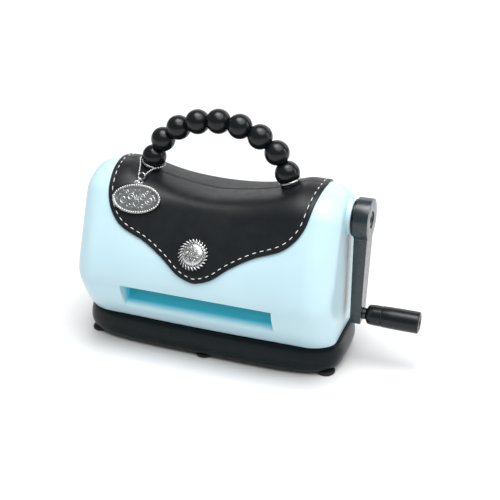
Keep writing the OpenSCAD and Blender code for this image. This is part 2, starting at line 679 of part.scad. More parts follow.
module cup_hole() {
    for (i = [-1, 1]) at_handle_end(i) {
        cylinder(r = cup_r + 0.15, h = 24);
        cylinder(r = cup_r + 1.1, h = ring_far + 0.2);
    }
}

// ---- Housing ----
// Profile of the slot cut: a flat upper edge, a floor, and a lip that rolls into the front and
// meets it smoothly at lip_s.
lip_s = 0.34;
lip_end = let (p = skin_point(0, lip_s, 0.3)) [p[1], p[2]];
lip_dir = let (d = unit(cubic_dir(profile_curves(0)[0], lip_s))) [-d[0], d[1]];
function lip(t) = cubic([[-(chute_y + 2), table_z + 0.3], [-(chute_y + 8), table_z + 0.3],
    lip_end + 6 * lip_dir, lip_end], t);
slot_roof = 60;                 // height of the chute's roof at its inner end
slot_cut = concat([[-belly - 12, slot_top], [-belly, slot_top], [-chute_y + 1, slot_roof],
    [-chute_y + 1, table_z + 0.3]], [for (k = [0:10]) lip(k / 10)], [[-belly - 12, edge_z]]);
// The chute's outer profile starts inside the housing's wall.
chute = concat(
    [for (k = [0:8]) let (p = skin_point(0, 0.3 + 0.68 * k / 8, -wall / 2)) [p[1], p[2]]],
    [[-chute_y, slot_roof + wall], [-chute_y, table_z - wall], [-chute_y - 3.5, table_z - 4.5],
    [-chute_y - 3.6, table_z - 9.5]]);
// A moulded post along Y from the parting plane to the skin at depth, wider at its root.
module post(x, z, depth) {
    hull() {
        rod_y(post_r, -2, 0, x, z);
        rod_y(post_r + 0.4, -depth, -depth + 2, x, z);
    }
}
// A post under the lower edge, tied to the end wall, for a screw from the tray.
module edge_post(dir) {
    x = dir * standoff[0];
    hull() {
        rod_z(4, edge_z, edge_z + 18, x, -standoff[1]);
        translate([dir * (half_l - 2) - 0.5, -standoff[1] - 2, edge_z]) cube([1, 4, 18]);
    }
}
// A rib from the chute's side wall to the skin above it.
module chute_rib(dir) {
    x = front_x + dir * (slot_w / 2 + 1);
    hull() {
        translate([x, -chute_y - 1, slot_roof - 8]) cube([1.5, 1, 8], true);
        translate([x, -belly + 3, slot_roof + 6]) cube([1.5, 1, 22], true);
    }
}
// The hollow boss round the crank's shaft; one half of it belongs to each half of the housing.
module shaft_boss() {
    difference() {
        rod_x(boss_r, half_l - 8, boss_x, 0, crank_z);
        rod_x(boss_r - 3, half_l - 9, boss_wall, 0, crank_z);
        translate([half_l - 9, 0, crank_z - 20]) cube([20, 20, 40]);
    }
}
// The front half. With wells it is the rear half, mirrored, with deep wells for its screws.
module half_shell(wells) {
    $fn = 32;
    difference() {
        union() {
            sheet(skin_grid(0), skin_grid(-wall), true);
            plate_x(chute, front_x - slot_w / 2 - wall, front_x + slot_w / 2 + wall);
            shaft_boss();
            for (i = [-1, 1]) {
                for (p = post_points) post(i * p[0], p[1], p[2]);
                edge_post(i);
                chute_rib(i);
            }
        }
        plate_x(slot_cut, front_x - slot_w / 2, front_x + slot_w / 2);
        rod_x(shaft_r + bush_t + snug, half_l - 9, boss_x + 1, 0, crank_z);
        rod_x(boss_r - 3, half_l - 9, boss_wall, 0, crank_z);
        cup_hole();
        for (i = [-1, 1], p = post_points) {
            rod_y(wells ? 2.1 : 1.6, wells ? -30 : -14, 1, i * p[0], p[1]);
            if (wells) rod_y(3.7, -belly - 5, -10, i * p[0], p[1]);
        }
        for (i = [-1, 1]) rod_z(1.6, edge_z - 1, edge_z + 15, i * standoff[0], -standoff[1]);
    }
}
module front_shell() color([0.8, 0.91, 0.93]) half_shell(false);
module rear_shell() color([0.8, 0.91, 0.93]) mirror([0, 1, 0]) half_shell(true);
module shell_screws() {
    color("silver") for (i = [-1, 1], p = post_points) {
        rod_y(3.4, 10, 12.6, i * p[0], p[1]);
        rod_y(small_core, -12, 11, i * p[0], p[1]);
    }
}

// ---- Flap ----
// The flap's edge from the ridge to the tip: place up the profile, and half width.
flap_edge = [[3, 87.2], [2.75, 86.4], [2.5, 85.3], [2.27, 84.1], [2.05, 83], [1.92, 81.4],
    [1.8, 77.6], [1.7, 71.6], [1.64, 65], [1.6, 56.8], [1.56, 47.6], [1.5, 39], [1.43, 31.2],
    [1.35, 23.6], [1.27, 16.6], [1.22, 10.4], [1.185, 3]];
function catmull(p, t) = let (
    n = len(p) - 1, i = min(n - 1, floor(t)), u = t - i,
    a = p[max(0, i - 1)], b = p[i], c = p[i + 1], d = p[min(n, i + 2)])
    0.5 * (2 * b + (c - a) * u + (2 * a - 5 * b + 4 * c - d) * u * u
        + (3 * b - a - 3 * c + d) * u * u * u);
flap_rows = 30;
flap_cols = 22;
function flap_grid(off) = [for (k = [0:flap_rows])
    let (e = catmull(flap_edge, (len(flap_edge) - 1) * k / flap_rows))
    [for (c = [0:flap_cols])
        skin_point(front_x + e[1] * (1 - 2 * c / flap_cols), e[0], off)]];
module flap() {
    color([0.13, 0.14, 0.15]) difference() {
        sheet(flap_grid(flap_gap + flap_t), flap_grid(flap_gap));
        cup_hole();
        on_skin(rosette_x, rosette_s, 0) rod_z(2 + snug, -3, 3);
    }
}
rosette_s = 1.494;
module front_flap() flap();
module rear_flap() mirror([0, 1, 0]) flap();
rosette_r = 12.8;
rosette_x = -0.4;
module clasp_rosette() {
    color([0.75, 0.76, 0.78]) on_skin(rosette_x, rosette_s, 0) rotate_extrude() polygon(concat(
        [[0, 0.1], [2, 0.1], [2, flap_gap + flap_t + 0.1], [rosette_r, flap_gap + flap_t + 0.1],
            [rosette_r, flap_t + 1.6], [rosette_r - 2.6, flap_t + 2.6]],
        [for (k = [0:6]) let (a = 90 * k / 6) [8.6 * cos(a), flap_t + 2.6 + 3 * sin(a)]]));
}

// ---- Charm ----
chain_r = 1;
// Route of the ball chain: from the charm's ring up the flap, behind the handle's left foot
// and back down to the ring.
chain_path = [[-60, -21.1, 144.7], [-61.3, -17.5, 145.9], [-63.5, -11.6, 147.5],
    [-65.9, -6.4, 148.9], [-67.8, -1.8, 150.1], [-67.3, 3.5, 149.7], [-65, 7.3, 148.5],
    [-61.8, 9.3, 147.4], [-58.5, 9.8, 146.3], [-55, 9.1, 145.8], [-52, 7.3, 145],
    [-49.6, 4, 144.8], [-48.6, 0, 144.9], [-49.6, -4.2, 145.1], [-52, -7.3, 145.1],
    [-53.1, -12, 145.4], [-53.9, -17.4, 144.9], [-54.3, -20.4, 144.3]];
chain_rings = 3 * (len(chain_path) - 1);
module tube(path, r, rings, sides = 8) {
    span = (len(path) - 1) / rings;
    loft([for (k = [0:rings]) let (
        t = k * span,
        c = catmull(path, t),
        ahead = catmull(path, min(len(path) - 1, t + 0.05))
            - catmull(path, max(0, t - 0.05)),
        z = ahead / norm(ahead),
        x = cross([0, 0, 1], z) / norm(cross([0, 0, 1], z)),
        y = cross(z, x))
        [for (a = [0:sides - 1]) c + r * (cos(360 * a / sides) * x + sin(360 * a / sides) * y)]]);
}
module charm_chain() color([0.75, 0.76, 0.78]) tube(chain_path, chain_r, chain_rings);
// The oval tag lies over the flap, its long axis level. Its frame has Y up towards the ring
// and Z outward.
tag_w = 40;
tag_h = 23.6;
tag_t = 1.8;
tag_gap = 1.2;                  // air left so that the tag can swing over the flap
tag_turn = 14;                  // angle from the flap's fall to the level
tag = turned(skin_frame(-55.5, 2, flap_gap + flap_t + tag_gap), tag_turn);
tag_hinge = [0, tag_h / 2 + 0.8, tag_t / 2];
knuckle_r = 1.25;
knuckle_half = 1.6;
knuckle_bore = 0.75;
// The ring that joins chain and charm stands parallel to the tag, its axis along Z.
link_r = 2.7;
link_wire = 0.5;
link_gap = 3.3;                 // height of the ring's centre over the flap
link = [tag[0], tag[1], tag[2], skin_point(-57, 2.5, flap_gap + flap_t + link_gap)];
module charm_ring() {
    w = link_wire;
    color([0.75, 0.76, 0.78]) in_frame(link) rotate_extrude() translate([link_r, 0])
        polygon([[-w, -w / 2], [-w / 2, -w], [w / 2, -w], [w, -w / 2],
            [w, w / 2], [w / 2, w], [-w / 2, w], [-w, w / 2]]);
}
module charm_tag() {
    color([0.7, 0.71, 0.73]) in_frame(tag) difference() {
        union() {
            resize([tag_w, tag_h, tag_t]) cylinder(r = 1, h = 1, $fn = 72);
            translate(tag_hinge) rod_x(knuckle_r, -knuckle_half, knuckle_half);
        }
        translate(tag_hinge) rod_x(knuckle_bore, -2 * knuckle_half, 2 * knuckle_half);
    }
}
// The bail: a pin through the tag's knuckle, two bent legs, and an eye round the ring's wire.
bail_wire = 0.6;
bail_half = 3.4;
bail_rise = 2;
eye_r = 1.13;
eye_wire = 0.4;
pull = from_frame(tag, tag_hinge) - link[3];
eye_dir = unit(pull - (pull * link[2]) * link[2]);
eye = [unit(cross(link[2], eye_dir)), link[2], eye_dir, link[3] + link_r * eye_dir];
// A round wire through the given points.
module wire(points, r) {
    for (k = [1:len(points) - 1]) hull() {
        translate(points[k - 1]) sphere(r = r, $fn = 12);
        translate(points[k]) sphere(r = r, $fn = 12);
    }
}
module charm_bail() {
    hinge = from_frame(tag, tag_hinge);
    side = bail_half * tag[0];
    top = eye[3] + eye_r * unit(hinge - eye[3]);
    neck = 0.3 * tag[0];
    reach = top - hinge;
    rise = bail_rise * unit(reach - (reach * tag[0]) * tag[0]);
    steps = 14;
    color([0.75, 0.76, 0.78]) {
        wire([top - neck, hinge - side + rise, hinge - side, hinge + side, hinge + side + rise,
            top + neck], bail_wire);
        in_frame(eye) wire([for (k = [0:steps]) let (a = 360 * k / steps)
            [0, eye_r * cos(a), eye_r * sin(a)]], eye_wire);
    }
}

base_tray();
rubber_feet();
frame_base_screws();
frame_nuts();
shell_base_screws();
side_frame_left();
side_frame_right();
tie_rod_front_lower();
tie_rod_rear_lower();
tie_rod_front_upper();
tie_rod_rear_upper();
frame_screws();
roller_bushings();
crank_bushings();
feed_table_front();
feed_table_rear();
handle_bridge();
upper_roller();
lower_roller();
upper_circlips();
lower_circlips();
drive_gear();
upper_sync_gear();
lower_sync_gear();
crank_shaft();
crank_pinion();
crank_circlip();
crank_collar();
crank_arm();
crank_bolt();
grip_pin();
crank_grip();
grip_cap();
front_shell();
rear_shell();
shell_screws();
front_flap();
rear_flap();
clasp_rosette();
bead_1();
bead_2();
bead_3();
bead_4();
bead_5();
bead_6();
bead_7();
bead_8();
bead_9();
handle_core();
handle_ring_left();
handle_ring_right();
handle_cup_left();
handle_cup_right();
handle_screws();
charm_chain();
charm_ring();
charm_bail();
charm_tag();
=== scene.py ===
"""Blender 4.5 scene of a hand-cranked embossing and die-cutting press shaped like a handbag.

Lengths in the functions are millimetres, as in the CAD source, and meshes are made in metres.
+X is the crank side, -Y the front with the feed slot, +Z is up.
"""

from math import cos, dist, hypot, pi, radians, sin, sqrt, tau

import bmesh
import bpy
from mathutils import Matrix, Vector


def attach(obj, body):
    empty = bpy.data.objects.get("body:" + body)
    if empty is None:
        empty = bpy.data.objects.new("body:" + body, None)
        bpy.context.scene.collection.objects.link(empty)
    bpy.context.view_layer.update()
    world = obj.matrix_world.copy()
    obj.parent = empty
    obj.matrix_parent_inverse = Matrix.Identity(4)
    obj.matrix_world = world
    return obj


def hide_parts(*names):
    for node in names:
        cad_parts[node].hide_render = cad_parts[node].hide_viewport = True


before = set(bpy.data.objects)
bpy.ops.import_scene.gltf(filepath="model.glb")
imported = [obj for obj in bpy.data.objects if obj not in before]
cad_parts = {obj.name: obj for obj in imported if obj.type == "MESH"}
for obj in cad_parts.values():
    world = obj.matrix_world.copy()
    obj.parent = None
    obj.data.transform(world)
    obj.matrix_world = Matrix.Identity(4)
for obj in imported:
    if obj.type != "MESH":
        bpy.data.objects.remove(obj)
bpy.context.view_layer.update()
MM = 0.001

# Dimensions shared with the CAD source
HALF_L, BELLY, END_ROUND, WALL = 107.0, 61.44, 22.0, 2.5
SADDLE_Z, HORN_Z, SADDLE_L, TOP_SHARE = 137.6, 147.6, 76.0, 0.6
SCOOP_Z, SCOOP_BLEND, FRONT_X = 131.4, 6.0, 1.8
EDGE_Z, EDGE_Y, EDGE_BOW, WAIST_Z = 26.0, 39.0, 2.0, 90.0
FLAT_L = HALF_L - END_ROUND
SLOT_W, SLOT_TOP, SLOT_ROOF, TABLE_Z, CHUTE_Y = 127.0, 64.0, 60.0, 47.0, 45.0
FLAP_T, FLAP_GAP = 1.4, 0.3
BOSS_BORE, CUP_HOLE = 10.7, 8.05
CRANK_Z, GRIP_Z, ARM_X, HUB_T = 124.0, 43.0, 113.2, 11.0
GRIP_X, GRIP_L, GRIP_R = 125.0, 42.0, 8.7
BEAD_R = 9.8
BEADS = [(0, 187.6), (17.55, 185.4), (34, 179), (47.8, 167.9), (56.4, 152.5)]
HANDLE_LEAN = radians(19.3)


# ---- Surface of the housing ----
def smooth(t):
    c = min(1.0, max(0.0, t))
    return c * c * (3 - 2 * c)


def profile_curves(x):
    b = EDGE_BOW * max(0.0, 1 - (x / 98) ** 2)
    e = EDGE_Y + b
    return (
        ((e, EDGE_Z), (e + 9 - 0.3 * b, EDGE_Z + 10), (BELLY, 52), (BELLY, 66)),
        ((BELLY, 66), (BELLY, 84), (43.5, 112.6), (33.5, 130)),
        ((33.5, 130), (28, 139.5), (15, 147), (0, 147)),
    )


def cubic(p, t):
    k = ((1 - t) ** 3, 3 * t * (1 - t) ** 2, 3 * t * t * (1 - t), t**3)
    return tuple(sum(k[i] * p[i][a] for i in range(4)) for a in range(2))


def cubic_dir(p, t):
    k = ((1 - t) ** 2, 2 * t * (1 - t), t * t)
    return tuple(
        sum(k[i] * (p[i + 1][a] - p[i][a]) for i in range(3)) for a in range(2)
    )


def top_z(x):
    return SADDLE_Z + (HORN_Z - SADDLE_Z) * smooth(min(1, abs(x) / SADDLE_L) ** 1.8)


def scoop(x):
    return SCOOP_Z + 6.8 * (abs(x) / 47) ** 1.6 + 4 * (x / 70) ** 8


def lesser(a, b, k):
    """The lesser of a and b, blended where they are closer than k."""
    h = min(1, max(0, 0.5 + 0.5 * (b - a) / k))
    return b * (1 - h) + a * h - k * h * (1 - h)


def skin(x, s, off=0.0):
    """A point of the front half: s runs from 0 at the lower edge to 3 at the ridge."""
    i = min(2, int(s))
    curve = profile_curves(x)[i]
    y, z = cubic(curve, s - i)
    dy, dz = cubic_dir(curve, s - i)
    length = hypot(dy, dz)
    ny, nz = dz / length, -dy / length
    if z > WAIST_Z:
        z = WAIST_Z + (z - WAIST_Z) * (top_z(x) - WAIST_Z) / (147 - WAIST_Z)
    r = END_ROUND + off
    e = max(0.0, abs(x) - FLAT_L)
    inset = r - sqrt(max(0.0, r * r - e * e))
    m = off - inset * (1 + (TOP_SHARE - 1) * smooth((z - WAIST_Z) / 50))
    z = lesser(z + m * nz * smooth((z - EDGE_Z) / 30), scoop(x) + off, SCOOP_BLEND)
    return Vector((x, -(y + m * ny), z))


def skin_frame(x, s, off):
    """Matrix of the skin's axes at (x, s): X across, Y up the skin, Z outward."""
    step = 0.01
    along = skin(x + step, s, off) - skin(x - step, s, off)
    up = skin(x, s + step, off) - skin(x, s - step, off)
    z = along.cross(up).normalized()
    u = along.normalized()
    w = z.cross(u)
    m = Matrix((u, w, z)).transposed().to_4x4()
    m.translation = skin(x, s, off)
    return m


# Length along the profile in the middle, so that outlines can be offset in millimetres
STEPS = 600
LENGTHS = [0.0]
for _k in range(STEPS):
    _a, _b = skin(0, 3 * _k / STEPS), skin(0, 3 * (_k + 1) / STEPS)
    LENGTHS.append(LENGTHS[-1] + (_b - _a).length)


def length_at(s):
    f = min(STEPS - 1e-6, max(0.0, s / 3 * STEPS))
    i = int(f)
    return LENGTHS[i] + (LENGTHS[i + 1] - LENGTHS[i]) * (f - i)


def s_at(length):
    length = min(LENGTHS[-1], max(0.0, length))
    lo, hi = 0, STEPS
    while hi - lo > 1:
        mid = (lo + hi) // 2
        if LENGTHS[mid] <= length:
            lo = mid
        else:
            hi = mid
    part = (length - LENGTHS[lo]) / (LENGTHS[lo + 1] - LENGTHS[lo])
    return 3 * (lo + part) / STEPS


# ---- Mesh helpers ----
def new_object(name, verts, faces, matrix=None, sharp=38):
    mesh = bpy.data.meshes.new(name)
    if matrix is not None:
        verts = [matrix @ Vector(v) for v in verts]
    mesh.from_pydata([Vector(v) * MM for v in verts], [], faces)
    bm = bmesh.new()
    bm.from_mesh(mesh)
    bmesh.ops.remove_doubles(bm, verts=bm.verts, dist=2e-6)
    bmesh.ops.dissolve_degenerate(bm, edges=bm.edges, dist=1e-7)
    bmesh.ops.recalc_face_normals(bm, faces=bm.faces)
    bm.to_mesh(mesh)
    bm.free()
    shade(mesh, sharp)
    obj = bpy.data.objects.new(name, mesh)
    bpy.context.scene.collection.objects.link(obj)
    return obj


def shade(mesh, sharp):
    mesh.shade_smooth()
    mesh.set_sharp_from_angle(angle=radians(sharp))


def declare(obj, mat, body, slot, *nodes):
    obj.data.materials.clear()
    obj.data.materials.append(mat)
    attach(obj, body)
    if nodes:
        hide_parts(*nodes)
    return obj


def apply_modifiers(obj):
    """Writes the object's modifiers into its mesh."""
    graph = bpy.context.evaluated_depsgraph_get()
    mesh = bpy.data.meshes.new_from_object(obj.evaluated_get(graph))
    old = obj.data
    obj.modifiers.clear()
    obj.data = mesh
    mesh.name = obj.name
    bpy.data.meshes.remove(old)


def combine(obj, other, operation, sharp=38):
    """Boolean of two closed objects; the other is used up."""
    mod = obj.modifiers.new("bool", "BOOLEAN")
    mod.object = other
    mod.operation = operation
    mod.solver = "EXACT"
    bpy.context.view_layer.update()
    apply_modifiers(obj)
    bpy.data.objects.remove(other)
    shade(obj.data, sharp)
    return obj


def rounded_edges(obj, width, segments=3, angle=40, sharp=38):
    """Rounds the object's sharp edges, width in millimetres."""
    mod = obj.modifiers.new("bevel", "BEVEL")
    mod.width = width * MM
    mod.segments = segments
    mod.limit_method = "ANGLE"
    mod.angle_limit = radians(angle)
    mod.use_clamp_overlap = True
    bpy.context.view_layer.update()
    apply_modifiers(obj)
    shade(obj.data, sharp)
    return obj


def quads(rows, cols, wrap=False, base=0):
    """Faces of a grid of rows by cols points; wrap closes each row."""
    last = cols if wrap else cols - 1
    return [
        (
            base + i * cols + j,
            base + i * cols + (j + 1) % cols,
            base + (i + 1) * cols + (j + 1) % cols,
            base + (i + 1) * cols + j,
        )
        for i in range(rows - 1)
        for j in range(last)
    ]


def rings_solid(rings):
    """Vertices and faces of a closed solid through rings, capped at both ends."""
    n = len(rings[0])
    verts = [v for r in rings for v in r]
    faces = quads(len(rings), n, wrap=True)
    faces.append(tuple(range(n - 1, -1, -1)))
    faces.append(tuple(range((len(rings) - 1) * n, len(rings) * n)))
    return verts, faces


def lathe(points, sides=96, closed=False):
    """Turned form about Z from (radius, height) points; closed joins the last to the first."""
    pts = list(points) + ([points[0]] if closed else [])
    verts = [
        (r * cos(tau * k / sides), r * sin(tau * k / sides), z)
        for r, z in pts
        for k in range(sides)
    ]
    return verts, quads(len(pts), sides, wrap=True)


def capped(points, sides):
    """Turned solid with a flat end at its first and its last point."""
    verts, faces = lathe(points, sides)
    n = len(verts)
    return verts, faces + [tuple(range(sides - 1, -1, -1)), tuple(range(n - sides, n))]


def along_x(z):
    """Matrix that lays a turned form's axis along +X at height z."""
    m = Matrix(((0, 0, 1), (1, 0, 0), (0, 1, 0))).to_4x4()
    m.translation = (0, 0, z)
    return m


def arc(cx, cy, r, a0, a1, steps):
    """Points of an arc, angles in degrees."""
    return [
        (
            cx + r * cos(radians(a0 + (a1 - a0) * k / steps)),
            cy + r * sin(radians(a0 + (a1 - a0) * k / steps)),
        )
        for k in range(steps + 1)
    ]


def catmull(p, t):
    n = len(p) - 1
    i = min(n - 1, int(t))
    u = t - i
    a, b, c, d = p[max(0, i - 1)], p[i], p[i + 1], p[min(n, i + 2)]
    return tuple(
        0.5
        * (
            2 * b[k]
            + (c[k] - a[k]) * u
            + (2 * a[k] - 5 * b[k] + 4 * c[k] - d[k]) * u * u
            + (3 * b[k] - a[k] - 3 * c[k] + d[k]) * u**3
        )
        for k in range(len(b))
    )


def spline(p, count):
    return [catmull(p, (len(p) - 1) * k / count) for k in range(count + 1)]


def running(points):
    """Running length at each of the points."""
    run = [0.0]
    for a, b in zip(points, points[1:]):
        run.append(run[-1] + dist(a, b))
    return run


def tube(path, radius, sides=10, closed=False):
    """Round wire along a path; radius is a number or a function of 0 to 1."""
    pts = [Vector(p) for p in path]
    n = len(pts)
    rings = []
    side = None
    for k, p in enumerate(pts):
        if closed:
            ahead = pts[(k + 1) % n] - pts[k - 1]
        else:
            ahead = pts[min(n - 1, k + 1)] - pts[max(0, k - 1)]
        ahead.normalize()
        if side is None:
            side = ahead.orthogonal().normalized()
        side = (side - ahead * side.dot(ahead)).normalized()
        other = ahead.cross(side)
        r = radius(k / (n - 1)) if callable(radius) else radius
        rings.append(
            [
                p + r * (side * cos(tau * a / sides) + other * sin(tau * a / sides))
                for a in range(sides)
            ]
        )
    if not closed:
        return rings_solid(rings)
    rings.append(rings[0])
    verts = [v for r in rings for v in r]
    return verts, quads(len(rings), sides, wrap=True)


def ball(centre, r, squash=(1, 1, 1), sides=14):
    """Rounded ball as a turned form."""
    rows = sides // 2 + 1
    verts, faces = lathe(
        [
            (r * sin(pi * k / (rows - 1)), -r * cos(pi * k / (rows - 1)))
            for k in range(rows)
        ],
        sides,
    )
    c = Vector(centre)
    return [
        c + Vector((v[0] * squash[0], v[1] * squash[1], v[2] * squash[2]))
        for v in verts
    ], faces


def gather(parts):
    """Joins (vertices, faces) pairs into one list of each."""
    verts, faces = [], []
    for v, f in parts:
        base = len(verts)
        verts += [Vector(p) for p in v]
        faces += [tuple(base + i for i in q) for q in f]
    return verts, faces


def moved(part, matrix):
    return [matrix @ Vector(v) for v in part[0]], part[1]


def prism_x(outline, x1, x2):
    """Closed prism of a (y, z) outline between two X values."""
    return rings_solid(
        [[Vector((x, y, z)) for y, z in outline] for x in (x1, x2)]
    )


# ---- Materials ----
class Finish:
    """Builds one procedural material round a Principled shader."""

    def __init__(self, name, colour, rough, metal=0.0, coat=0.0, level=0.5):
        self.mat = bpy.data.materials.new(name)
        self.mat.use_nodes = True
        self.mat.diffuse_color = (*colour, 1)
        self.tree = self.mat.node_tree
        self.shader = self.tree.nodes["Principled BSDF"]
        self.colour = colour
        put = self.shader.inputs
        put["Base Color"].default_value = (*colour, 1)
        put["Roughness"].default_value = rough
        put["Metallic"].default_value = metal
        put["Coat Weight"].default_value = coat
        put["Coat Roughness"].default_value = 0.2
        put["Specular IOR Level"].default_value = level
        self.coord = self.tree.nodes.new("ShaderNodeTexCoord").outputs["Object"]
        self.normal = None

    def node(self, kind, **inputs):
        n = self.tree.nodes.new(kind)
        for key, value in inputs.items():
            n.inputs[key.replace("_", " ")].default_value = value
        return n

    def noise(self, size, detail=3.0, stretch=None):
        """Noise whose features are about size millimetres; stretch scales its axes."""
        n = self.node("ShaderNodeTexNoise", Scale=1000 / size, Detail=detail)
        source = self.coord
        if stretch:
            m = self.tree.nodes.new("ShaderNodeMapping")
            m.inputs["Scale"].default_value = stretch
            self.tree.links.new(source, m.inputs["Vector"])
            source = m.outputs["Vector"]
        self.tree.links.new(source, n.inputs["Vector"])
        return n.outputs["Fac"]

    def cells(self, size):
        n = self.node("ShaderNodeTexVoronoi", Scale=1000 / size)
        n.feature = "SMOOTH_F1"
        self.tree.links.new(self.coord, n.inputs["Vector"])
        return n.outputs["Distance"]

    def ramp(self, source, lo, hi, v0, v1):
        n = self.tree.nodes.new("ShaderNodeMapRange")
        n.inputs["From Min"].default_value = lo
        n.inputs["From Max"].default_value = hi
        n.inputs["To Min"].default_value = v0
        n.inputs["To Max"].default_value = v1
        self.tree.links.new(source, n.inputs["Value"])
        return n.outputs["Result"]

    def tint(self, source, colour_a, colour_b, lo=0.35, hi=0.65):
        """Base colour from a to b as the source goes from lo to hi."""
        mix = self.tree.nodes.new("ShaderNodeMix")
        mix.data_type = "RGBA"
        self.tree.links.new(self.ramp(source, lo, hi, 0, 1), mix.inputs["Factor"])
        for socket, value in ((6, colour_a), (7, colour_b)):
            if isinstance(value, bpy.types.NodeSocket):
                self.tree.links.new(value, mix.inputs[socket])
            else:
                mix.inputs[socket].default_value = (*value, 1)
        self.tree.links.new(mix.outputs[2], self.shader.inputs["Base Color"])
        return mix.outputs[2]

    def rough(self, source, lo, hi):
        self.tree.links.new(
            self.ramp(source, 0.3, 0.7, lo, hi), self.shader.inputs["Roughness"]
        )

    def painted_glow(self, source, power, low=0.0):
        """Painted glow: emission that makes the plastic light up of itself, from low up to power
        along the source.
        """
        self.shader.inputs["Emission Color"].default_value = (0.06, 0.50, 0.62, 1)
        self.tree.links.new(
            self.ramp(source, 0, 1, low, power), self.shader.inputs["Emission Strength"]
        )

    def bump(self, source, height, strength=1.0):
        """Relief of the given height in millimetres; later calls add to earlier ones."""
        n = self.node("ShaderNodeBump", Strength=strength, Distance=height * MM)
        self.tree.links.new(source, n.inputs["Height"])
        if self.normal:
            self.tree.links.new(self.normal, n.inputs["Normal"])
        self.normal = n.outputs["Normal"]
        self.tree.links.new(self.normal, self.shader.inputs["Normal"])


def table_finish():
    """Teal plastic for the feed tables: the deep teal is painted shade, and the tables have a
    painted glow.
    """
    f = Finish("table_teal_painted_shade", (0.05, 0.47, 0.60), 0.42)
    f.tint(f.noise(30), (0.045, 0.45, 0.57), (0.055, 0.49, 0.62))
    f.bump(f.noise(0.8), 0.02, 0.6)
    # painted glow on the feed tables, its strength varied by noise
    f.painted_glow(f.noise(40), 0.3, 0.4)
    return f.mat


def plain(name, colour, rough, size, spread=0.12, relief=0.02, **more):
    """Finish with colour, gloss and relief all varied by noise of the given size."""
    f = Finish(name, colour, rough, **more)
    wide = f.noise(size * 12)
    f.tint(
        wide,
        tuple(c * (1 - spread) for c in colour),
        tuple(c * (1 + spread) for c in colour),
    )
    f.rough(f.noise(size * 3), rough * 0.85, rough * 1.15)
    f.bump(f.noise(size), relief, 0.6)
    return f


def shell_finish():
    """Light aqua moulded plastic, with painted shade (a deeper teal) and a painted glow inside the
    feed slot.
    """
    aqua, pale = (0.53, 0.745, 0.825), (0.56, 0.775, 0.855)
    f = Finish("aqua_plastic", aqua, 0.32, coat=0.1)
    base = f.tint(f.noise(60, 2), aqua, pale)
    split = f.tree.nodes.new("ShaderNodeSeparateXYZ")
    f.tree.links.new(f.coord, split.inputs[0])
    depth = f.tree.nodes.new("ShaderNodeMath")
    depth.operation = "ABSOLUTE"
    f.tree.links.new(split.outputs["Y"], depth.inputs[0])
    deep = f.ramp(depth.outputs[0], 0.0535, 0.0485, 0, 1)
    wide = f.tree.nodes.new("ShaderNodeMath")
    wide.operation = "ABSOLUTE"
    f.tree.links.new(split.outputs["X"], wide.inputs[0])
    inside = f.ramp(wide.outputs[0], 0.0637, 0.0633, 0, 1)
    above = f.ramp(split.outputs["Z"], 0.040, 0.045, 0, 1)
    below = f.ramp(split.outputs["Z"], 0.0640, 0.0636, 0, 1)
    slot_shade_mask = deep
    for other in (inside, above, below):
        m = f.tree.nodes.new("ShaderNodeMath")
        m.operation = "MULTIPLY"
        f.tree.links.new(slot_shade_mask, m.inputs[0])
        f.tree.links.new(other, m.inputs[1])
        slot_shade_mask = m.outputs[0]
    # painted shade: the slot's inside is tinted deep teal in place of its shadow
    f.tint(slot_shade_mask, base, (0.05, 0.47, 0.60), 0, 1)
    # painted glow: the slot's inside gives off light of its own
    f.painted_glow(slot_shade_mask, 0.3)
    f.rough(f.noise(25), 0.28, 0.36)
    f.bump(f.noise(0.9, 2), 0.012, 0.5)
    return f.mat


def leather_finish():
    """Near-black moulded leather look: fine pores over soft creases."""
    f = Finish("flap_leather", (0.007, 0.009, 0.011), 0.36, level=0.3)
    f.tint(f.noise(14), (0.006, 0.008, 0.010), (0.009, 0.011, 0.013))
    f.rough(f.noise(6), 0.33, 0.42)
    f.bump(f.noise(4, 4), 0.05, 0.35)
    f.bump(f.cells(0.75), 0.03, 0.5)
    return f.mat


def silver_finish(name, colour=(0.62, 0.63, 0.63), dark=(0.03, 0.03, 0.035)):
    """Antique silver: dark in the hollows, bright on the ridges."""
    f = Finish(name, colour, 0.24, metal=1.0)
    geo = f.tree.nodes.new("ShaderNodeNewGeometry")
    tarnish = f.tint(f.noise(3), tuple(c * 0.86 for c in colour), colour)
    f.tint(geo.outputs["Pointiness"], dark, tarnish, 0.46, 0.51)
    f.rough(f.noise(1.5), 0.2, 0.34)
    f.bump(f.noise(0.5), 0.012, 0.4)
    return f.mat


def brushed_finish(name, colour, rough, stretch):
    """Turned or ground steel, with fine lines across the stretched axis."""
    f = Finish(name, colour, rough, metal=1.0)
    lines = f.noise(0.5, 4, stretch)
    f.tint(f.noise(9), tuple(c * 0.85 for c in colour), colour)
    f.rough(lines, rough * 0.75, rough * 1.3)
    f.bump(lines, 0.01, 0.5)
    return f.mat


def thread_finish():
    """White thread with a fine twist."""
    f = Finish("stitch_thread", (0.86, 0.87, 0.87), 0.7)
    wave = f.node("ShaderNodeTexWave", Scale=900.0, Distortion=1.5)
    wave.wave_type = "BANDS"
    wave.bands_direction = "DIAGONAL"
    f.tree.links.new(f.coord, wave.inputs["Vector"])
    f.tint(wave.outputs["Fac"], (0.72, 0.73, 0.74), (0.9, 0.91, 0.91), 0.1, 0.7)
    f.bump(wave.outputs["Fac"], 0.08, 0.6)
    return f.mat


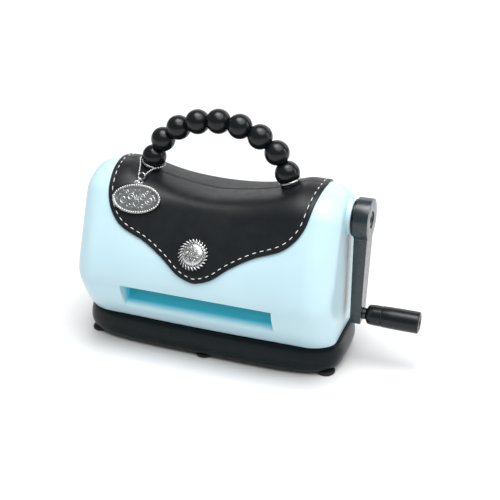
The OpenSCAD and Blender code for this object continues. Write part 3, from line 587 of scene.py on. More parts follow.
AQUA = shell_finish()
LEATHER = leather_finish()
THREAD = thread_finish()
SILVER = silver_finish("antique_silver")
BASE_BLACK = plain("base_black", (0.003, 0.007, 0.009), 0.24, 3, relief=0.008, level=0.16).mat
BEAD_BLACK = plain("bead_black", (0.004, 0.006, 0.007), 0.24, 6, relief=0.01, level=0.38).mat
CUP_BLACK = plain("cup_black", (0.005, 0.006, 0.007), 0.25, 2, relief=0.01, level=0.3).mat
ARM_PAINT = plain(
    "arm_paint", (0.011, 0.021, 0.027), 0.3, 0.9, relief=0.006, coat=0.35, level=0.5
).mat
GRIP_BLACK = plain("grip_black", (0.006, 0.008, 0.010), 0.26, 3, relief=0.006, level=0.35).mat
RUBBER = plain("foot_rubber", (0.012, 0.012, 0.013), 0.75, 0.5, relief=0.06).mat
FRAME_PAINT = plain("frame_paint", (0.16, 0.17, 0.18), 0.45, 0.5, relief=0.04).mat
TEAL_SHADE = table_finish()
BRONZE = brushed_finish("bush_bronze", (0.55, 0.35, 0.16), 0.4, (1, 8, 8))
ZINC = brushed_finish("zinc_steel", (0.62, 0.63, 0.64), 0.35, (6, 6, 6))
TURNED = brushed_finish("turned_steel", (0.60, 0.61, 0.62), 0.25, (14, 1, 1))
GEAR = brushed_finish("gear_steel", (0.34, 0.35, 0.36), 0.38, (1, 6, 6))
DARK_STEEL = brushed_finish("dark_steel", (0.10, 0.10, 0.11), 0.3, (6, 6, 6))


# ---- Handle ends and charm frames ----
def handle_end(side):
    """Matrix of the handle's end: origin at the last bead, +Z along the end, away from it."""
    z = Vector((side * sin(HANDLE_LEAN), 0, -cos(HANDLE_LEAN)))
    y = Vector((0, 1, 0))
    m = Matrix((y.cross(z), y, z)).transposed().to_4x4()
    m.translation = (side * BEADS[-1][0], 0, BEADS[-1][1])
    return m


def cup_cutter(radius, near, far):
    """Two cylinders, one on each handle end."""
    part = capped([(radius, near), (radius, far)], 72)
    return new_object("cutter", *gather([moved(part, handle_end(side)) for side in (-1, 1)]))


# ---- Housing ----
SEAM = 0.3  # depth of the groove between the housing's halves


def shell_columns(off):
    """X of the skin's columns: even steps, then arc steps round each end."""
    ends = [FLAT_L + (END_ROUND + off) * sin(radians(90 * k / 16)) for k in range(1, 17)]
    even = [FLAT_L * (2 * k / 90 - 1) for k in range(91)]
    return [-e for e in reversed(ends)] + even + ends


def skin_rows(off, rows):
    """Grid of one skin with the end walls, and a groove along the parting plane."""
    levels = [3 * k / rows for k in range(rows)] + [2.985, 3.0]
    xs = shell_columns(off)
    grid = []
    for s in levels:
        line = [skin(x, s, off) for x in xs]
        if s == 3.0 and off == 0:
            line = [p - Vector((0, 0, SEAM)) for p in line]
        ends = []
        for p in (line[0], line[-1]):
            side = 1 if p.x > 0 else -1
            depth = SEAM * side if off == 0 else 0
            parts = [Vector((p.x, p.y * f, p.z)) for f in (0.75, 0.5, 0.25, 0.1)]
            near = Vector((p.x, max(p.y, -0.5), p.z))
            ends.append(parts + [near, Vector((p.x - depth, 0, p.z))])
        grid.append(list(reversed(ends[0])) + line + ends[1])
    return grid


def closed_sheet(outer, inner):
    """Closed solid between two grids of the same size."""
    rows, cols = len(outer), len(outer[0])
    size = rows * cols
    verts = [p for r in outer for p in r] + [p for r in inner for p in r]
    faces = quads(rows, cols) + [
        tuple(reversed(q)) for q in quads(rows, cols, base=size)
    ]
    rim = (
        [j for j in range(cols)]
        + [i * cols + cols - 1 for i in range(1, rows)]
        + [(rows - 1) * cols + j for j in range(cols - 2, -1, -1)]
        + [i * cols for i in range(rows - 2, 0, -1)]
    )
    for k, a in enumerate(rim):
        b = rim[(k + 1) % len(rim)]
        faces.append((b, a, size + a, size + b))
    return verts, faces


LIP_S = 0.34
_p = skin(0, LIP_S, 0.3)
_d = cubic_dir(profile_curves(0)[0], LIP_S)
LIP_END = (_p.y, _p.z)
LIP_UP = (-_d[0] / hypot(*_d), _d[1] / hypot(*_d))


def lip(t):
    """Profile of the ramp that rolls from the slot's floor into the lower front."""
    return cubic(
        (
            (-(CHUTE_Y + 2), TABLE_Z + 0.3),
            (-(CHUTE_Y + 8), TABLE_Z + 0.3),
            (LIP_END[0] + 6 * LIP_UP[0], LIP_END[1] + 6 * LIP_UP[1]),
            LIP_END,
        ),
        t,
    )


def front_half(name):
    """One half of the housing with its slot, chute and half of the crank's boss."""
    shell = new_object(name, *closed_sheet(skin_rows(0, 110), skin_rows(-WALL, 110)))
    outer = [skin(0, 0.3 + 0.68 * k / 12, -WALL / 2) for k in range(13)]
    chute = [(p.y, p.z) for p in outer] + [
        (-CHUTE_Y, SLOT_ROOF + WALL),
        (-CHUTE_Y, TABLE_Z - WALL),
        (-CHUTE_Y - 3.5, TABLE_Z - 4.5),
        (-CHUTE_Y - 3.6, TABLE_Z - 9.5),
    ]
    left, right = FRONT_X - SLOT_W / 2, FRONT_X + SLOT_W / 2
    combine(shell, new_object("tool", *prism_x(chute, left - WALL, right + WALL)), "UNION")
    boss = (
        [(BOSS_BORE, 99), (16.5, 99), (16.5, 103.5)]
        + arc(17.75, 107.5, 4, -110, -180, 6)
        + arc(12.85, 109.7, 0.9, 0, 90, 5)
        + [(6.53, 110.6), (6.53, 108), (BOSS_BORE, 108)]
    )
    boss_obj = new_object("boss", *moved(lathe(boss, 128, closed=True), along_x(CRANK_Z)))
    rear = prism_x([(0, 90), (40, 90), (40, 160), (0, 160)], 90, 120)
    combine(boss_obj, new_object("block", *rear), "DIFFERENCE")
    combine(shell, boss_obj, "UNION")
    cut = [(-BELLY - 12, SLOT_TOP), (-BELLY, SLOT_TOP), (-CHUTE_Y + 1, SLOT_ROOF)]
    cut += [(-CHUTE_Y + 1, TABLE_Z + 0.3)] + [lip(k / 28) for k in range(29)]
    cut += [(-BELLY - 12, EDGE_Z)]
    combine(shell, new_object("tool", *prism_x(cut, left, right)), "DIFFERENCE")
    core = capped([(BOSS_BORE, 98), (BOSS_BORE, 107.95)], 64)
    combine(shell, new_object("tool", *moved(core, along_x(CRANK_Z))), "DIFFERENCE")
    return combine(shell, cup_cutter(CUP_HOLE, -2, 24), "DIFFERENCE", sharp=30)


def mirror_y(obj, name):
    """Copy of an object mirrored in Y."""
    mesh = obj.data.copy()
    mesh.name = name
    mesh.transform(Matrix.Scale(-1, 4, (0, 1, 0)))
    mesh.flip_normals()
    other = bpy.data.objects.new(name, mesh)
    bpy.context.scene.collection.objects.link(other)
    return other


front_shell = front_half("housing_front")
rear_shell = mirror_y(front_shell, "housing_rear")


def screw_posts(radius, near, far_low, far_high):
    """Cylinders along Y at the four screws that join the halves."""
    parts = []
    for side in (-1, 1):
        for height, far in ((56, far_low), (103, far_high)):
            m = Matrix(((1, 0, 0), (0, 0, 1), (0, -1, 0))).to_4x4()
            m.translation = (side * 95, 0, height)
            parts.append(moved(capped([(radius, near), (radius, far)], 48), m))
    return new_object("tool", *gather(parts))


# the screws go in from behind, each down a well in a post of the rear half
combine(rear_shell, screw_posts(5.6, 8, 51, 37), "UNION")
combine(rear_shell, screw_posts(3.7, 12, 70, 70), "DIFFERENCE", sharp=30)
declare(front_shell, AQUA, "root", "aqua_plastic", "front_shell")
declare(rear_shell, AQUA, "root", "aqua_plastic", "rear_shell")


# ---- Flap ----
FLAP_EDGE = [
    (3, 87.2), (2.75, 86.4), (2.5, 85.3), (2.27, 84.1), (2.05, 83), (1.92, 81.4), (1.8, 77.6),
    (1.7, 71.6), (1.64, 65), (1.6, 56.8), (1.56, 47.6), (1.5, 39), (1.43, 31.2), (1.35, 23.6),
    (1.27, 16.6), (1.22, 10.4), (1.185, 3), (1.18, 0),
]  # fmt: skip
RIDGE = length_at(3)
STITCH_INSET, STITCH_PITCH = 3.7, 5.9


def flap_side(count):
    """Points (x, length up the profile) of the flap's right edge, evenly spaced."""
    fine = [(x, length_at(s)) for s, x in spline(FLAP_EDGE, 600)]
    fine[-1] = (0.0, fine[-1][1])
    run = running(fine)
    out, i = [], 0
    for k in range(count + 1):
        want = run[-1] * k / count
        while i < len(run) - 2 and run[i + 1] < want:
            i += 1
        f = (want - run[i]) / (run[i + 1] - run[i])
        a, b = fine[i], fine[i + 1]
        out.append((a[0] + (b[0] - a[0]) * f, a[1] + (b[1] - a[1]) * f))
    return out


SIDE = flap_side(190)


def inset_side(d):
    """The right edge moved inward by d, measured along the skin."""
    out = []
    for k, (x, length) in enumerate(SIDE):
        a, b = SIDE[max(0, k - 1)], SIDE[min(len(SIDE) - 1, k + 1)]
        tx, tl = b[0] - a[0], b[1] - a[1]
        if k == len(SIDE) - 1:
            tx, tl = -1.0, 0.0
        n = hypot(tx, tl)
        out.append((max(0.0, x + d * tl / n), length - d * tx / n))
    return out


def flap_ring(d):
    """Closed outline (x, length) inset by d, and by 0.3 of that along the ridge."""
    right = inset_side(d)
    top = RIDGE - 0.3 * d
    right[0] = (right[0][0], top)
    right = [(x, min(length, top)) for x, length in right]
    left = [(-x, length) for x, length in reversed(right[:-1])]
    steps = 80
    ridge = [
        (-right[0][0] + 2 * right[0][0] * k / steps, top) for k in range(1, steps)
    ]
    return right + left + ridge


def flap_height(d):
    """Height of the flap's face above its underside, at distance d from the edge."""
    edge = 0.75
    h = FLAP_T if d >= edge else FLAP_T - edge + sqrt(edge**2 - (edge - d) ** 2)
    groove = 0.16 * max(0.0, 1 - ((d - STITCH_INSET) / 0.9) ** 2)
    return h - groove


def flap_mesh(name):
    """Closed sheet in rings: the underside out from its centre, the edge, the face back in."""
    middle = (0.0, length_at(2.16))
    insets = [0, 0.03, 0.1, 0.22, 0.38, 0.56, 0.75, 1.1, 1.7, 2.4, 2.8, 3.1, 3.4, 3.7]
    insets += [4.0, 4.3, 4.6, 5.2, 6.2]
    under_rings, face_rings = 12, 44

    def place(x, length, off):
        return skin(x + FRONT_X, s_at(length), off)

    def shrunk(outline, f, off):
        return [
            place(middle[0] + (x - middle[0]) * f, middle[1] + (l - middle[1]) * f, off)
            for x, l in outline
        ]

    top_off = FLAP_GAP + FLAP_T
    edge = flap_ring(0)
    rings = [shrunk(edge, k / under_rings, FLAP_GAP) for k in range(1, under_rings + 1)]
    for d in insets:
        rings.append([place(x, l, FLAP_GAP + flap_height(d)) for x, l in flap_ring(d)])
    last = flap_ring(insets[-1])
    rings += [shrunk(last, k / face_rings, top_off) for k in range(face_rings - 1, 0, -1)]
    verts = [p for ring in rings for p in ring]
    count = len(edge)
    faces = quads(len(rings), count, wrap=True)
    bottom, top, base = len(verts), len(verts) + 1, (len(rings) - 1) * count
    verts += [place(*middle, FLAP_GAP), place(*middle, top_off)]
    for j in range(count):
        faces.append((bottom, (j + 1) % count, j))
        faces.append((top, base + j, base + (j + 1) % count))
    flap = combine(new_object(name, verts, faces), cup_cutter(9.0, -2, 7.8), "DIFFERENCE", sharp=30)
    return combine(flap, cup_cutter(CUP_HOLE, 4, 24), "DIFFERENCE", sharp=30)


front_flap = flap_mesh("flap_front")
rear_flap = mirror_y(front_flap, "flap_rear")
declare(front_flap, LEATHER, "root", "flap_leather", "front_flap")
declare(rear_flap, LEATHER, "root", "flap_leather", "rear_flap")


def stitch_row(name):
    """White stitches along the flap's edge, each a rounded thread sunk at its ends."""
    line = inset_side(STITCH_INSET)
    path = [(x, min(l, RIDGE - 1.2)) for x, l in line]
    path += [(-x, l) for x, l in reversed(path[:-1])]
    run = running(path)
    count = round(run[-1] / STITCH_PITCH)
    pitch = run[-1] / count

    def at(want):
        want = min(max(want, 0), run[-1] - 1e-6)
        i = max(0, next(k for k, r in enumerate(run) if r > want) - 1)
        f = (want - run[i]) / max(1e-9, run[i + 1] - run[i])
        a, b = path[i], path[i + 1]
        return a[0] + (b[0] - a[0]) * f, a[1] + (b[1] - a[1]) * f

    parts = []
    for k in range(count):
        middle = (k + 0.5) * pitch
        route = []
        for q in range(9):
            u = q / 4 - 1
            x, l = at(middle + 1.55 * u)
            lift = FLAP_GAP + FLAP_T - 0.16 + 0.18 * (1 - u**4)
            route.append(skin(x + FRONT_X, s_at(l), lift))
        parts.append(tube(route, lambda t: 0.13 + 0.2 * sin(pi * t) ** 0.5, 10))
    return new_object(name, *gather(parts), sharp=60)


front_stitches = stitch_row("stitches_front")
rear_stitches = mirror_y(front_stitches, "stitches_rear")
for obj in (front_stitches, rear_stitches):
    declare(obj, THREAD, "root", "flap_leather")


# ---- Base ----
def plan(z, a, b, n=256, power=4.5):
    """Rounded outline of the base at height z, a and b its half length and half depth."""
    out = []
    for k in range(n):
        c, s = cos(tau * k / n), sin(tau * k / n)
        out.append(
            Vector((
                (1 if c > 0 else -1) * a * abs(c) ** (2 / power),
                (1 if s > 0 else -1) * b * abs(s) ** (2 / power),
                z,
            ))
        )
    return out


SIDE_RINGS = [
    (2.4, 105.4, 39.4), (2.5, 106.6, 40.6), (3.7, 109.2, 42.9), (7, 111, 44.7),
    (12, 111.95, 45.65), (17, 111.75, 45.45), (21.6, 110.9, 44.7), (24.6, 109.9, 43.8),
    (25.7, 109.2, 43.2), (25.9, 108.4, 42.4), (25.6, 107.6, 41.7),
]  # fmt: skip
outside = [plan(*catmull(SIDE_RINGS, 10 * k / 50)) for k in range(51)]
inside = [
    plan(z, a, b)
    for z, a, b in (
        (25.5, 103.4, 35.4), (22.5, 102.8, 34.9), (21.5, 106.4, 40.3), (9, 107.3, 41.3),
        (7, 104.8, 39.3),
    )
]  # fmt: skip
base = new_object("base_shell", *rings_solid(outside + inside))
holes = []
for x in (-98, 98):
    for y in (-14, 14):
        hole = capped([(4.2, 0), (4.2, 5.2), (2.2, 6.2), (2.2, 9)], 40)
        holes.append(moved(hole, Matrix.Translation((x, y, 0))))
combine(base, new_object("tool", *gather(holes)), "DIFFERENCE")
declare(base, BASE_BLACK, "root", "base_plastic", "base_tray")

FEET = [(0, 0), (0, -36.5), (0, 36.5)]
FEET += [(x, y) for x in (-100.5, 100.5) for y in (-27.5, 27.5)]
pad = (
    [(0, 0), (6.4, 0)] + arc(6.4, 1.1, 1.1, -90, 0, 6) + [(7.55, 2.1), (7.4, 2.38), (0, 2.38)]
)
feet = gather([moved(lathe(pad, 64), Matrix.Translation((x, y, 0))) for x, y in FEET])
declare(new_object("feet_pads", *feet), RUBBER, "root", "foot_rubber", "rubber_feet")


# ---- Beaded handle ----
def bead_point(k):
    x, z = BEADS[abs(k)]
    return Vector((x if k > 0 else -x, 0, z))


def bead(k):
    """A bead with a flat where it touches each neighbour or the end ring."""
    here = bead_point(k)
    verts, faces = ball((0, 0, 0), BEAD_R, sides=64)
    turn = Matrix.Rotation(pi / 2, 4, "X")
    obj = new_object(f"bead_{k + 5}", *moved((verts, faces), Matrix.Translation(here) @ turn))
    bm = bmesh.new()
    bm.from_mesh(obj.data)
    cuts = [
        (here.lerp(bead_point(n), 0.5), (bead_point(n) - here).normalized())
        for n in (k - 1, k + 1)
        if abs(n) <= 4
    ]
    if abs(k) == 4:
        end = handle_end(1 if k > 0 else -1)
        cuts.append((end @ Vector((0, 0, 5.15)), end.to_3x3() @ Vector((0, 0, 1))))
    for point, normal in cuts:
        for depth, shrink in ((0.12, 0), (0.03, 1)):
            geo = bm.verts[:] + bm.edges[:] + bm.faces[:]
            result = bmesh.ops.bisect_plane(
                bm, geom=geo, plane_co=(point - normal * depth) * MM, plane_no=normal,
                clear_outer=bool(shrink),
            )  # fmt: skip
            if shrink:
                rim = [e for e in result["geom_cut"] if isinstance(e, bmesh.types.BMEdge)]
                bmesh.ops.contextual_create(bm, geom=rim)
    bmesh.ops.recalc_face_normals(bm, faces=bm.faces)
    bm.to_mesh(obj.data)
    bm.free()
    shade(obj.data, 30)
    return declare(obj, BEAD_BLACK, "root", "bead_black", f"bead_{k + 5}")


for number in range(-4, 5):
    bead(number)

for side, word in ((-1, "left"), (1, "right")):
    place = handle_end(side)
    ring = [(2.6, 5.25), (7.9, 5.25)] + arc(7.65, 6.4, 1.1, -75, 75, 12)
    ring += [(7.9, 7.55), (2.6, 7.55)]
    obj = new_object(
        f"handle_ring_{word}_band", *moved(lathe(ring, 120, closed=True), place), sharp=50
    )
    declare(obj, SILVER, "root", "antique_silver", f"handle_ring_{word}")
    cup = (
        [(2.6, 7.65), (7.3, 7.65)]
        + arc(7.3, 8.2, 0.55, -90, 0, 4)
        + [(7.85, 9.6), (7.5, 10.1), (7.5, 10.5), (7.85, 11.0)]
        + [(7.9, 13), (7.9, 18.2), (7.2, 19), (2.6, 19)]
    )
    obj = new_object(
        f"handle_cup_{word}", *moved(lathe(cup, 96, closed=True), place), sharp=30
    )
    declare(obj, CUP_BLACK, "root", "black_plastic", f"handle_cup_{word}")


# ---- Clasp rosette ----
def rosette():
    """A rope border of slanted petals round a dome of scrolls and grains."""
    low = FLAP_GAP + FLAP_T
    parts = [
        lathe(
            [(0, 0.2), (1.95, 0.2), (1.95, low + 0.06), (9.9, low + 0.06)]
            + arc(9.9, low + 0.46, 0.4, -90, 60, 6)
            + [(9.4, low + 1.1), (8.7, low + 1.3), (8.6, low + 1.9)]
            + [(8.5 * cos(radians(a)), low + 1.9 + 2.55 * sin(radians(a))) for a in range(8, 90, 8)]
            + [(0, low + 4.45)],
            96,
        )
    ]
    petals = 26
    for k in range(petals):
        a = tau * k / petals
        leaf = ball((0, 0, 0), 1.0, (2.05, 0.66, 1.0), 14)
        turn = Matrix.Translation((10.75 * cos(a), 10.75 * sin(a), low + 1.15))
        turn = turn @ Matrix.Rotation(a + 0.62, 4, "Z")
        parts.append(moved(leaf, turn))
        b = a + pi / petals
        parts.append(ball((8.75 * cos(b), 8.75 * sin(b), low + 1.75), 0.5, sides=10))

    def dome(r, a, lift=0.0):
        z = low + 1.9 + 2.55 * sqrt(max(0, 1 - (r / 8.5) ** 2))
        return Vector((r * cos(a), r * sin(a), z + lift))

    for k in range(6):
        a = tau * k / 6
        c = Vector((5.35 * cos(a), 5.35 * sin(a)))
        curl = []
        for q in range(40):
            t = q / 39
            r = 1.75 * (1 - t) + 0.35
            b = a + pi + tau * 1.6 * t
            p = c + Vector((r * cos(b), r * sin(b)))
            curl.append(dome(p.length, Vector((1, 0)).angle_signed(p) * -1, 0.02))
        parts.append(tube(curl, lambda t: 0.34 - 0.12 * t, 8))
        parts.append(ball(dome(5.35, a, 0.1), 0.42, sides=10))
        parts.append(ball(dome(3.1, a + pi / 6, 0.05), 0.5, sides=10))
        for lean in (-0.13, 0.13):
            parts.append(ball(dome(7.4, a + pi / 6 + lean, 0.0), 0.42, sides=10))
    for k in range(9):
        a = tau * k / 9
        parts.append(ball(dome(1.75, a, 0.02), 0.42, sides=10))
    parts.append(ball(dome(0, 0, -0.1), 0.95, sides=16))
    return new_object(
        "clasp_rosette_detail", *moved(gather(parts), skin_frame(-0.4, 1.494, 0)), sharp=50
    )


declare(rosette(), SILVER, "root", "antique_silver", "clasp_rosette")


# ---- Charm ----
CHAIN = [
    (-59.5, -22.4, 144.2), (-61.3, -17.5, 145.9), (-63.5, -11.6, 147.5), (-65.9, -6.4, 148.9),
    (-67.8, -1.8, 150.1), (-67.3, 3.5, 149.7), (-65, 7.3, 148.5), (-61.8, 9.3, 147.4),
    (-58.5, 9.8, 146.3), (-55, 9.1, 145.8), (-52, 7.3, 145), (-49.6, 4, 144.8),
    (-48.6, 0, 144.9), (-49.6, -4.2, 145.1), (-52, -7.3, 145.1), (-53.1, -12, 145.4),
    (-53.9, -17.4, 144.9), (-54.5, -21.9, 144),
]  # fmt: skip
TAG_W, TAG_H, TAG_T = 40.0, 23.6, 1.8
TAG = skin_frame(-55.5, 2.0, FLAP_GAP + FLAP_T + 1.2) @ Matrix.Rotation(radians(14), 4, "Z")
LINK = TAG.copy()
LINK.translation = skin(-57, 2.5, FLAP_GAP + FLAP_T + 3.3)
HINGE = Vector((0, TAG_H / 2 + 0.8, TAG_T / 2))
LINK_R, EYE_R, BALL_R, BALL_PITCH = 2.7, 1.13, 0.92, 2.15


def ball_chain():
    """Small balls on a wire, evenly spaced along the chain's route."""
    fine = [Vector(p) for p in spline(CHAIN, 500)]
    run = running(fine)
    count = round(run[-1] / BALL_PITCH)
    parts = [tube(fine[::8] + [fine[-1]], 0.25, 8)]
    for k in range(count + 1):
        want = run[-1] * k / count
        i = min(len(fine) - 2, next((n for n, r in enumerate(run) if r >= want), 1))
        parts.append(ball(fine[i], BALL_R, sides=12))
    return new_object("ball_chain", *gather(parts), sharp=60)


declare(ball_chain(), SILVER, "root", "antique_silver", "charm_chain")

loop = [(LINK_R * cos(radians(a)), LINK_R * sin(radians(a)), 0) for a in range(98, 443, 5)]
declare(
    new_object("charm_link", *moved(tube(loop, 0.5, 12), LINK), sharp=50),
    SILVER, "root", "antique_silver", "charm_ring",
)  # fmt: skip


def bail():
    """A pin through the tag's knuckle, two legs, and an eye round the ring's wire."""
    hinge = TAG @ HINGE
    across = TAG.to_3x3() @ Vector((1, 0, 0))
    axis = LINK.to_3x3() @ Vector((0, 0, 1))
    pull = hinge - LINK.translation
    out = (pull - axis * pull.dot(axis)).normalized()
    eye = LINK.translation + out * LINK_R
    side = axis.cross(out).normalized()
    other = side.cross(out)
    top = eye + (hinge - eye).normalized() * EYE_R
    reach = top - hinge
    rise = (reach - across * reach.dot(across)).normalized() * 2
    route = [
        top - across * 0.35,
        top.lerp(hinge - across * 3.3 + rise, 0.5),
        hinge - across * 3.3 + rise,
        hinge - across * 3.35 + rise * 0.25,
        hinge - across * 2.6,
        hinge,
        hinge + across * 2.6,
        hinge + across * 3.35 + rise * 0.25,
        hinge + across * 3.3 + rise,
        top.lerp(hinge + across * 3.3 + rise, 0.5),
        top + across * 0.35,
    ]
    smooth_route = [Vector(p) for p in spline([tuple(p) for p in route], 64)]
    ring = [
        eye + EYE_R * (out * cos(tau * k / 28) + other * sin(tau * k / 28))
        for k in range(28)
    ]
    parts = [tube(smooth_route, 0.55, 12), tube(ring, 0.38, 10, closed=True)]
    return new_object("charm_bail_wire", *gather(parts), sharp=60)


declare(bail(), SILVER, "charm_bail", "antique_silver", "charm_bail")


def tag():
    """Oval tag: a beaded border round a sunk field with a scroll ornament."""
    a, b = TAG_W / 2, TAG_H / 2
    rings = [(0.93, 0.15), (0.965, 0.1), (0.985, 0.3), (0.985, 1.0), (0.96, 1.15)]
    rings += [(0.9, 1.15), (0.885, 0.95), (0.87, 0.9)] + [
        (0.87 * k / 6, 0.9 + 0.12 * (1 - (k / 6) ** 2)) for k in range(5, 0, -1)
    ]
    verts = [
        (a * f * cos(tau * k / 120), b * f * sin(tau * k / 120), z)
        for f, z in rings
        for k in range(120)
    ]
    faces = quads(len(rings), 120, wrap=True)
    faces += [tuple(range(119, -1, -1)), tuple(range(len(verts) - 120, len(verts)))]
    parts = [(verts, faces)]
    border = []
    count = 50
    fine = [(0.945 * a * cos(tau * k / 2000), 0.91 * b * sin(tau * k / 2000)) for k in range(2001)]
    run = running(fine)
    for k in range(count):
        want = run[-1] * k / count
        i = next(n for n, r in enumerate(run) if r >= want)
        border.append(ball((*fine[i], 1.1), 0.98, (1, 1, 0.85), 12))

    def scroll(points, thick):
        route = [(x, y, 1.0) for x, y in spline(points, 60)]
        parts.append(tube(route, lambda t: thick * (0.35 + 0.65 * sin(pi * t) ** 0.7), 8))

    def curl(cx, cy, r0, r1, start, turns, thick):
        scroll(
            [
                (
                    cx + (r0 + (r1 - r0) * k / 14) * cos(start + tau * turns * k / 14),
                    cy + (r0 + (r1 - r0) * k / 14) * sin(start + tau * turns * k / 14),
                )
                for k in range(15)
            ],
            thick,
        )

    for side in (-1, 1):
        flip = 0 if side > 0 else pi
        curl(side * 4.6, 1.3, 3.0, 0.7, flip + side * pi, -1.35 * side, 0.62)
        curl(side * 10.6, -1.0, 3.3, 0.7, flip + side * pi, 1.4 * side, 0.6)
        curl(side * 8.2, 5.0, 1.7, 0.5, flip, 1.1 * side, 0.45)
        curl(side * 5.6, -5.2, 1.8, 0.5, flip, -1.1 * side, 0.45)
        scroll(
            [(0, -6.4), (side * 2.2, -3.4), (side * 1.6, 0.6), (side * 3.2, 5.4)], 0.5
        )
        scroll([(side * 12.5, 3.6), (side * 14.6, 1.6), (side * 15.4, -1.4)], 0.5)
        for x, y in ((13.9, 3.0), (15.6, -0.6), (2.5, -6.9), (11.0, 6.0), (1.7, 6.6)):
            parts.append(ball((side * x, y, 1.05), 0.55, sides=10))
    for k in range(6):
        turn = tau * k / 6 + pi / 6
        leaf = ball((0, 0, 0), 1.0, (1.3, 0.62, 0.5), 12)
        m = Matrix.Translation((1.5 * cos(turn), 0.2 + 1.5 * sin(turn), 1.05))
        parts.append(moved(leaf, m @ Matrix.Rotation(turn, 4, "Z")))
    parts.append(ball((0, 0.2, 1.2), 0.75, sides=12))
    knuckle = lathe(
        [(0.72, -1.6), (1.1, -1.6), (1.25, -1.45), (1.25, 1.45), (1.1, 1.6), (0.72, 1.6)],
        24,
        closed=True,
    )
    parts.append(moved(knuckle, Matrix.Translation(HINGE) @ along_x(0)))
    beads = new_object("charm_tag_border", *moved(gather(border), TAG), sharp=60)
    declare(beads, SILVER, "charm_tag", "antique_silver")
    return new_object("charm_tag_detail", *moved(gather(parts), TAG), sharp=50)


declare(tag(), silver_finish("tag_silver", (0.56, 0.58, 0.59), (0.2, 0.21, 0.22)),
        "charm_tag", "antique_silver", "charm_tag")  # fmt: skip


# ---- Crank ----
def crank_arm():
    """Round hub and tapered arm as one casting, with rounded edges and a bolt recess."""
    hub = capped([(16.2, ARM_X), (16.2, ARM_X + HUB_T)], 128)
    arm = new_object("crank_arm_casting", *moved(hub, along_x(CRANK_Z)))
    sections = []
    for z, half, thick in ((37, 8, 8.4), (116, 10, 10.45)):
        sections.append([
            Vector((ARM_X, -half, z)), Vector((ARM_X + thick, -half, z)),
            Vector((ARM_X + thick, half, z)), Vector((ARM_X, half, z)),
        ])  # fmt: skip
    combine(arm, new_object("tool", *rings_solid(sections)), "UNION")
    for radius, z, near in ((6.6, CRANK_Z, ARM_X + HUB_T - 3), (3.1, GRIP_Z, ARM_X - 1)):
        hole = capped([(radius, near), (radius, ARM_X + HUB_T + 2)], 64)
        combine(arm, new_object("tool", *moved(hole, along_x(z))), "DIFFERENCE")
    return rounded_edges(arm, 0.9, 4)


declare(crank_arm(), ARM_PAINT, "crank", "arm_metal", "crank_arm")

collar = lathe(
    [(5.2, 111.05), (14.1, 111.05)]
    + arc(14.1, 111.4, 0.35, -90, 0, 3)
    + arc(14.1, 112.75, 0.35, 0, 90, 3)
    + [(5.2, 113.1)],
    96,
    closed=True,
)
declare(
    new_object("crank_collar_disc", *moved(collar, along_x(CRANK_Z))),
    CUP_BLACK, "crank", "black_plastic", "crank_collar",
)  # fmt: skip

bolt_x = ARM_X + HUB_T - 3
head = lathe(
    [(0, bolt_x + 0.05), (6.0, bolt_x + 0.05), (6.15, bolt_x + 0.3)]
    + arc(5.3, bolt_x + 1.5, 0.85, 0, 80, 6)
    + [(3.4, bolt_x + 2.42), (3.0, bolt_x + 2.1), (0, bolt_x + 2.1)],
    72,
)
bolt = new_object("crank_bolt_head", *moved(head, along_x(CRANK_Z)))
socket = [
    [Vector((x, 2.6 * cos(tau * k / 6), CRANK_Z + 2.6 * sin(tau * k / 6))) for k in range(6)]
    for x in (bolt_x + 0.9, bolt_x + 4)
]
combine(bolt, new_object("tool", *rings_solid(socket)), "DIFFERENCE", sharp=30)
declare(bolt, DARK_STEEL, "crank", "bolt_steel", "crank_bolt")

end = GRIP_X + GRIP_L
pin = lathe(
    [(0, ARM_X + 0.45), (2.7, ARM_X + 0.45), (3, ARM_X + 0.75), (3, ARM_X + 8.3)]
    + [(4.3, ARM_X + 8.45), (4.6, ARM_X + 8.8), (4.6, GRIP_X - 0.7), (4.3, GRIP_X - 0.35)]
    + [(3, GRIP_X - 0.35), (3, end - 5), (5, end - 5), (5, end - 2.6), (0, end - 2.6)],
    64,
)
declare(
    new_object("grip_pin_turned", *moved(pin, along_x(GRIP_Z)), sharp=30),
    DARK_STEEL, "crank", "pin_steel", "grip_pin",
)  # fmt: skip
grip = lathe(
    [(3.1, GRIP_X), (5.0, GRIP_X), (5.6, GRIP_X + 0.15), (6.6, GRIP_X + 0.75)]
    + [(GRIP_R - 1.15, GRIP_X + 1.5), (GRIP_R - 0.8, GRIP_X + 2.2), (GRIP_R - 0.5, GRIP_X + 6)]
    + [(GRIP_R - 0.4, GRIP_X + 11), (GRIP_R - 0.5, GRIP_X + 11.12), (GRIP_R - 0.62, GRIP_X + 11.3)]
    + [(GRIP_R - 0.62, GRIP_X + 12.0), (GRIP_R - 0.4, GRIP_X + 12.3), (GRIP_R - 0.25, GRIP_X + 13)]
    + [(GRIP_R - 0.08, GRIP_X + 20), (GRIP_R, GRIP_X + 27), (GRIP_R, end - 1.8)]
    + arc(GRIP_R - 1.5, end - 1.5, 1.5, 0, 85, 8)
    + [(5.95, end), (5.65, end - 0.25), (5.65, end - 5.3), (3.1, end - 5.3)],
    96,
    closed=True,
)
declare(
    new_object("crank_grip_turned", *moved(grip, along_x(GRIP_Z)), sharp=30),
    GRIP_BLACK, "grip", "grip_plastic", "crank_grip",
)  # fmt: skip
cap = lathe(
    [(0, end - 2.3), (5.5, end - 2.3), (5.5, end - 0.75)]
    + arc(5.1, end - 0.75, 0.4, 0, 90, 4)
    + [(3.1, end - 0.35), (2.7, end - 0.5), (2.3, end - 1.25), (0, end - 1.3)],
    72,
)
declare(
    new_object("grip_cap_turned", *moved(cap, along_x(GRIP_Z)), sharp=30),
    CUP_BLACK, "grip", "black_plastic", "grip_cap",
)  # fmt: skip


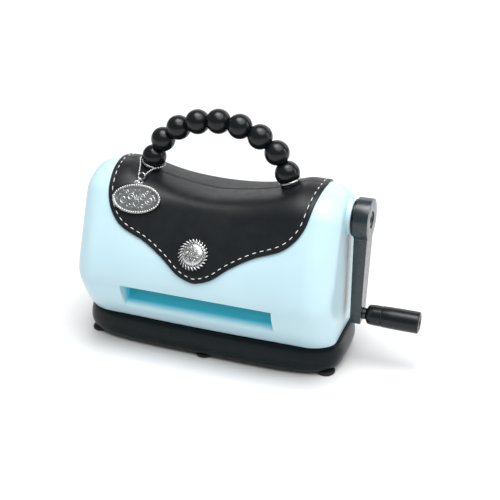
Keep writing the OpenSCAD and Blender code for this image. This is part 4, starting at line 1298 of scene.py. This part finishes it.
# ---- CAD nodes that stay, each with its own finish ----
KEPT = {
    ZINC: ["frame_base_screws", "frame_nuts", "shell_base_screws", "frame_screws",
           "shell_screws", "handle_screws"],
    FRAME_PAINT: ["side_frame_left", "side_frame_right", "handle_bridge"],
    TURNED: ["tie_rod_front_lower", "tie_rod_rear_lower", "tie_rod_front_upper",
             "tie_rod_rear_upper", "crank_shaft", "handle_core", "upper_roller",
             "lower_roller"],
    BRONZE: ["roller_bushings", "crank_bushings"],
    # the feed tables take the teal of painted shade and a painted glow
    TEAL_SHADE: ["feed_table_front", "feed_table_rear"],
    GEAR: ["drive_gear", "upper_sync_gear", "lower_sync_gear", "crank_pinion"],
    DARK_STEEL: ["upper_circlips", "lower_circlips", "crank_circlip"],
}  # fmt: skip
for mat, names in KEPT.items():
    for name in names:
        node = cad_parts[name]
        if not node.material_slots:
            node.data.materials.append(mat)
        for place in node.material_slots:
            place.link = "OBJECT"
            place.material = mat


# ---- Floor, light and camera ----
def floor_finish():
    f = Finish("floor", (0.8, 0.8, 0.8), 0.7, level=0.2)
    f.tint(f.noise(400, 2), (0.79, 0.79, 0.79), (0.81, 0.81, 0.81))
    return f.mat


FLOOR = 6000
corners = [(-FLOOR, -FLOOR, 0), (FLOOR, -FLOOR, 0), (FLOOR, FLOOR, 0), (-FLOOR, FLOOR, 0)]
floor = new_object("floor", corners, [(0, 1, 2, 3)])
floor.data.materials.append(floor_finish())

world = bpy.data.worlds.new("studio")
bpy.context.scene.world = world
world.use_nodes = True
world.node_tree.nodes["Background"].inputs["Color"].default_value = (1, 1, 1, 1)
world.node_tree.nodes["Background"].inputs["Strength"].default_value = 0.27


def soft_box(name, place, target, size, power):
    """Rectangular light, size in metres, that faces its target."""
    data = bpy.data.lights.new(name, "AREA")
    data.shape = "RECTANGLE"
    data.size, data.size_y = size
    data.energy = power
    obj = bpy.data.objects.new(name, data)
    obj.location = place
    obj.rotation_mode = "QUATERNION"
    obj.rotation_quaternion = (Vector(target) - Vector(place)).to_track_quat("-Z", "Y")
    bpy.context.scene.collection.objects.link(obj)


def sun(name, direction, spread, power):
    """Even light over the whole floor, softened by its angular size."""
    data = bpy.data.lights.new(name, "SUN")
    data.angle = radians(spread)
    data.energy = power
    obj = bpy.data.objects.new(name, data)
    obj.rotation_mode = "QUATERNION"
    obj.rotation_quaternion = Vector(direction).to_track_quat("-Z", "Y")
    bpy.context.scene.collection.objects.link(obj)


sun("sky", (-0.32, 0.25, -1), 62, 2.6)
soft_box("top", (-0.02, -0.1, 1.2), (0, 0, 0.1), (0.7, 0.5), 6)
soft_box("back", (0, 1.7, 0.95), (0, 0, 0.1), (3.0, 1.1), 12)
soft_box("side", (1.3, 0.3, 0.6), (0.05, 0, 0.14), (0.2, 0.8), 2.2)

camera = bpy.data.objects.new("camera", bpy.data.cameras.new("camera"))
bpy.context.scene.collection.objects.link(camera)
camera.data.sensor_width = 36
camera.data.lens = 64.6
camera.data.dof.use_dof = False
camera.location = (0.2569, -0.6154, 0.3920)
camera.rotation_mode = "QUATERNION"
aim = Vector((0.02583, 0, 0.08253)) - camera.location
camera.rotation_quaternion = aim.to_track_quat("-Z", "Y")
camera.data.clip_start, camera.data.clip_end = 0.01, 50
bpy.context.scene.camera = camera
bpy.context.scene.view_settings.view_transform = "Standard"

bpy.context.view_layer.update()
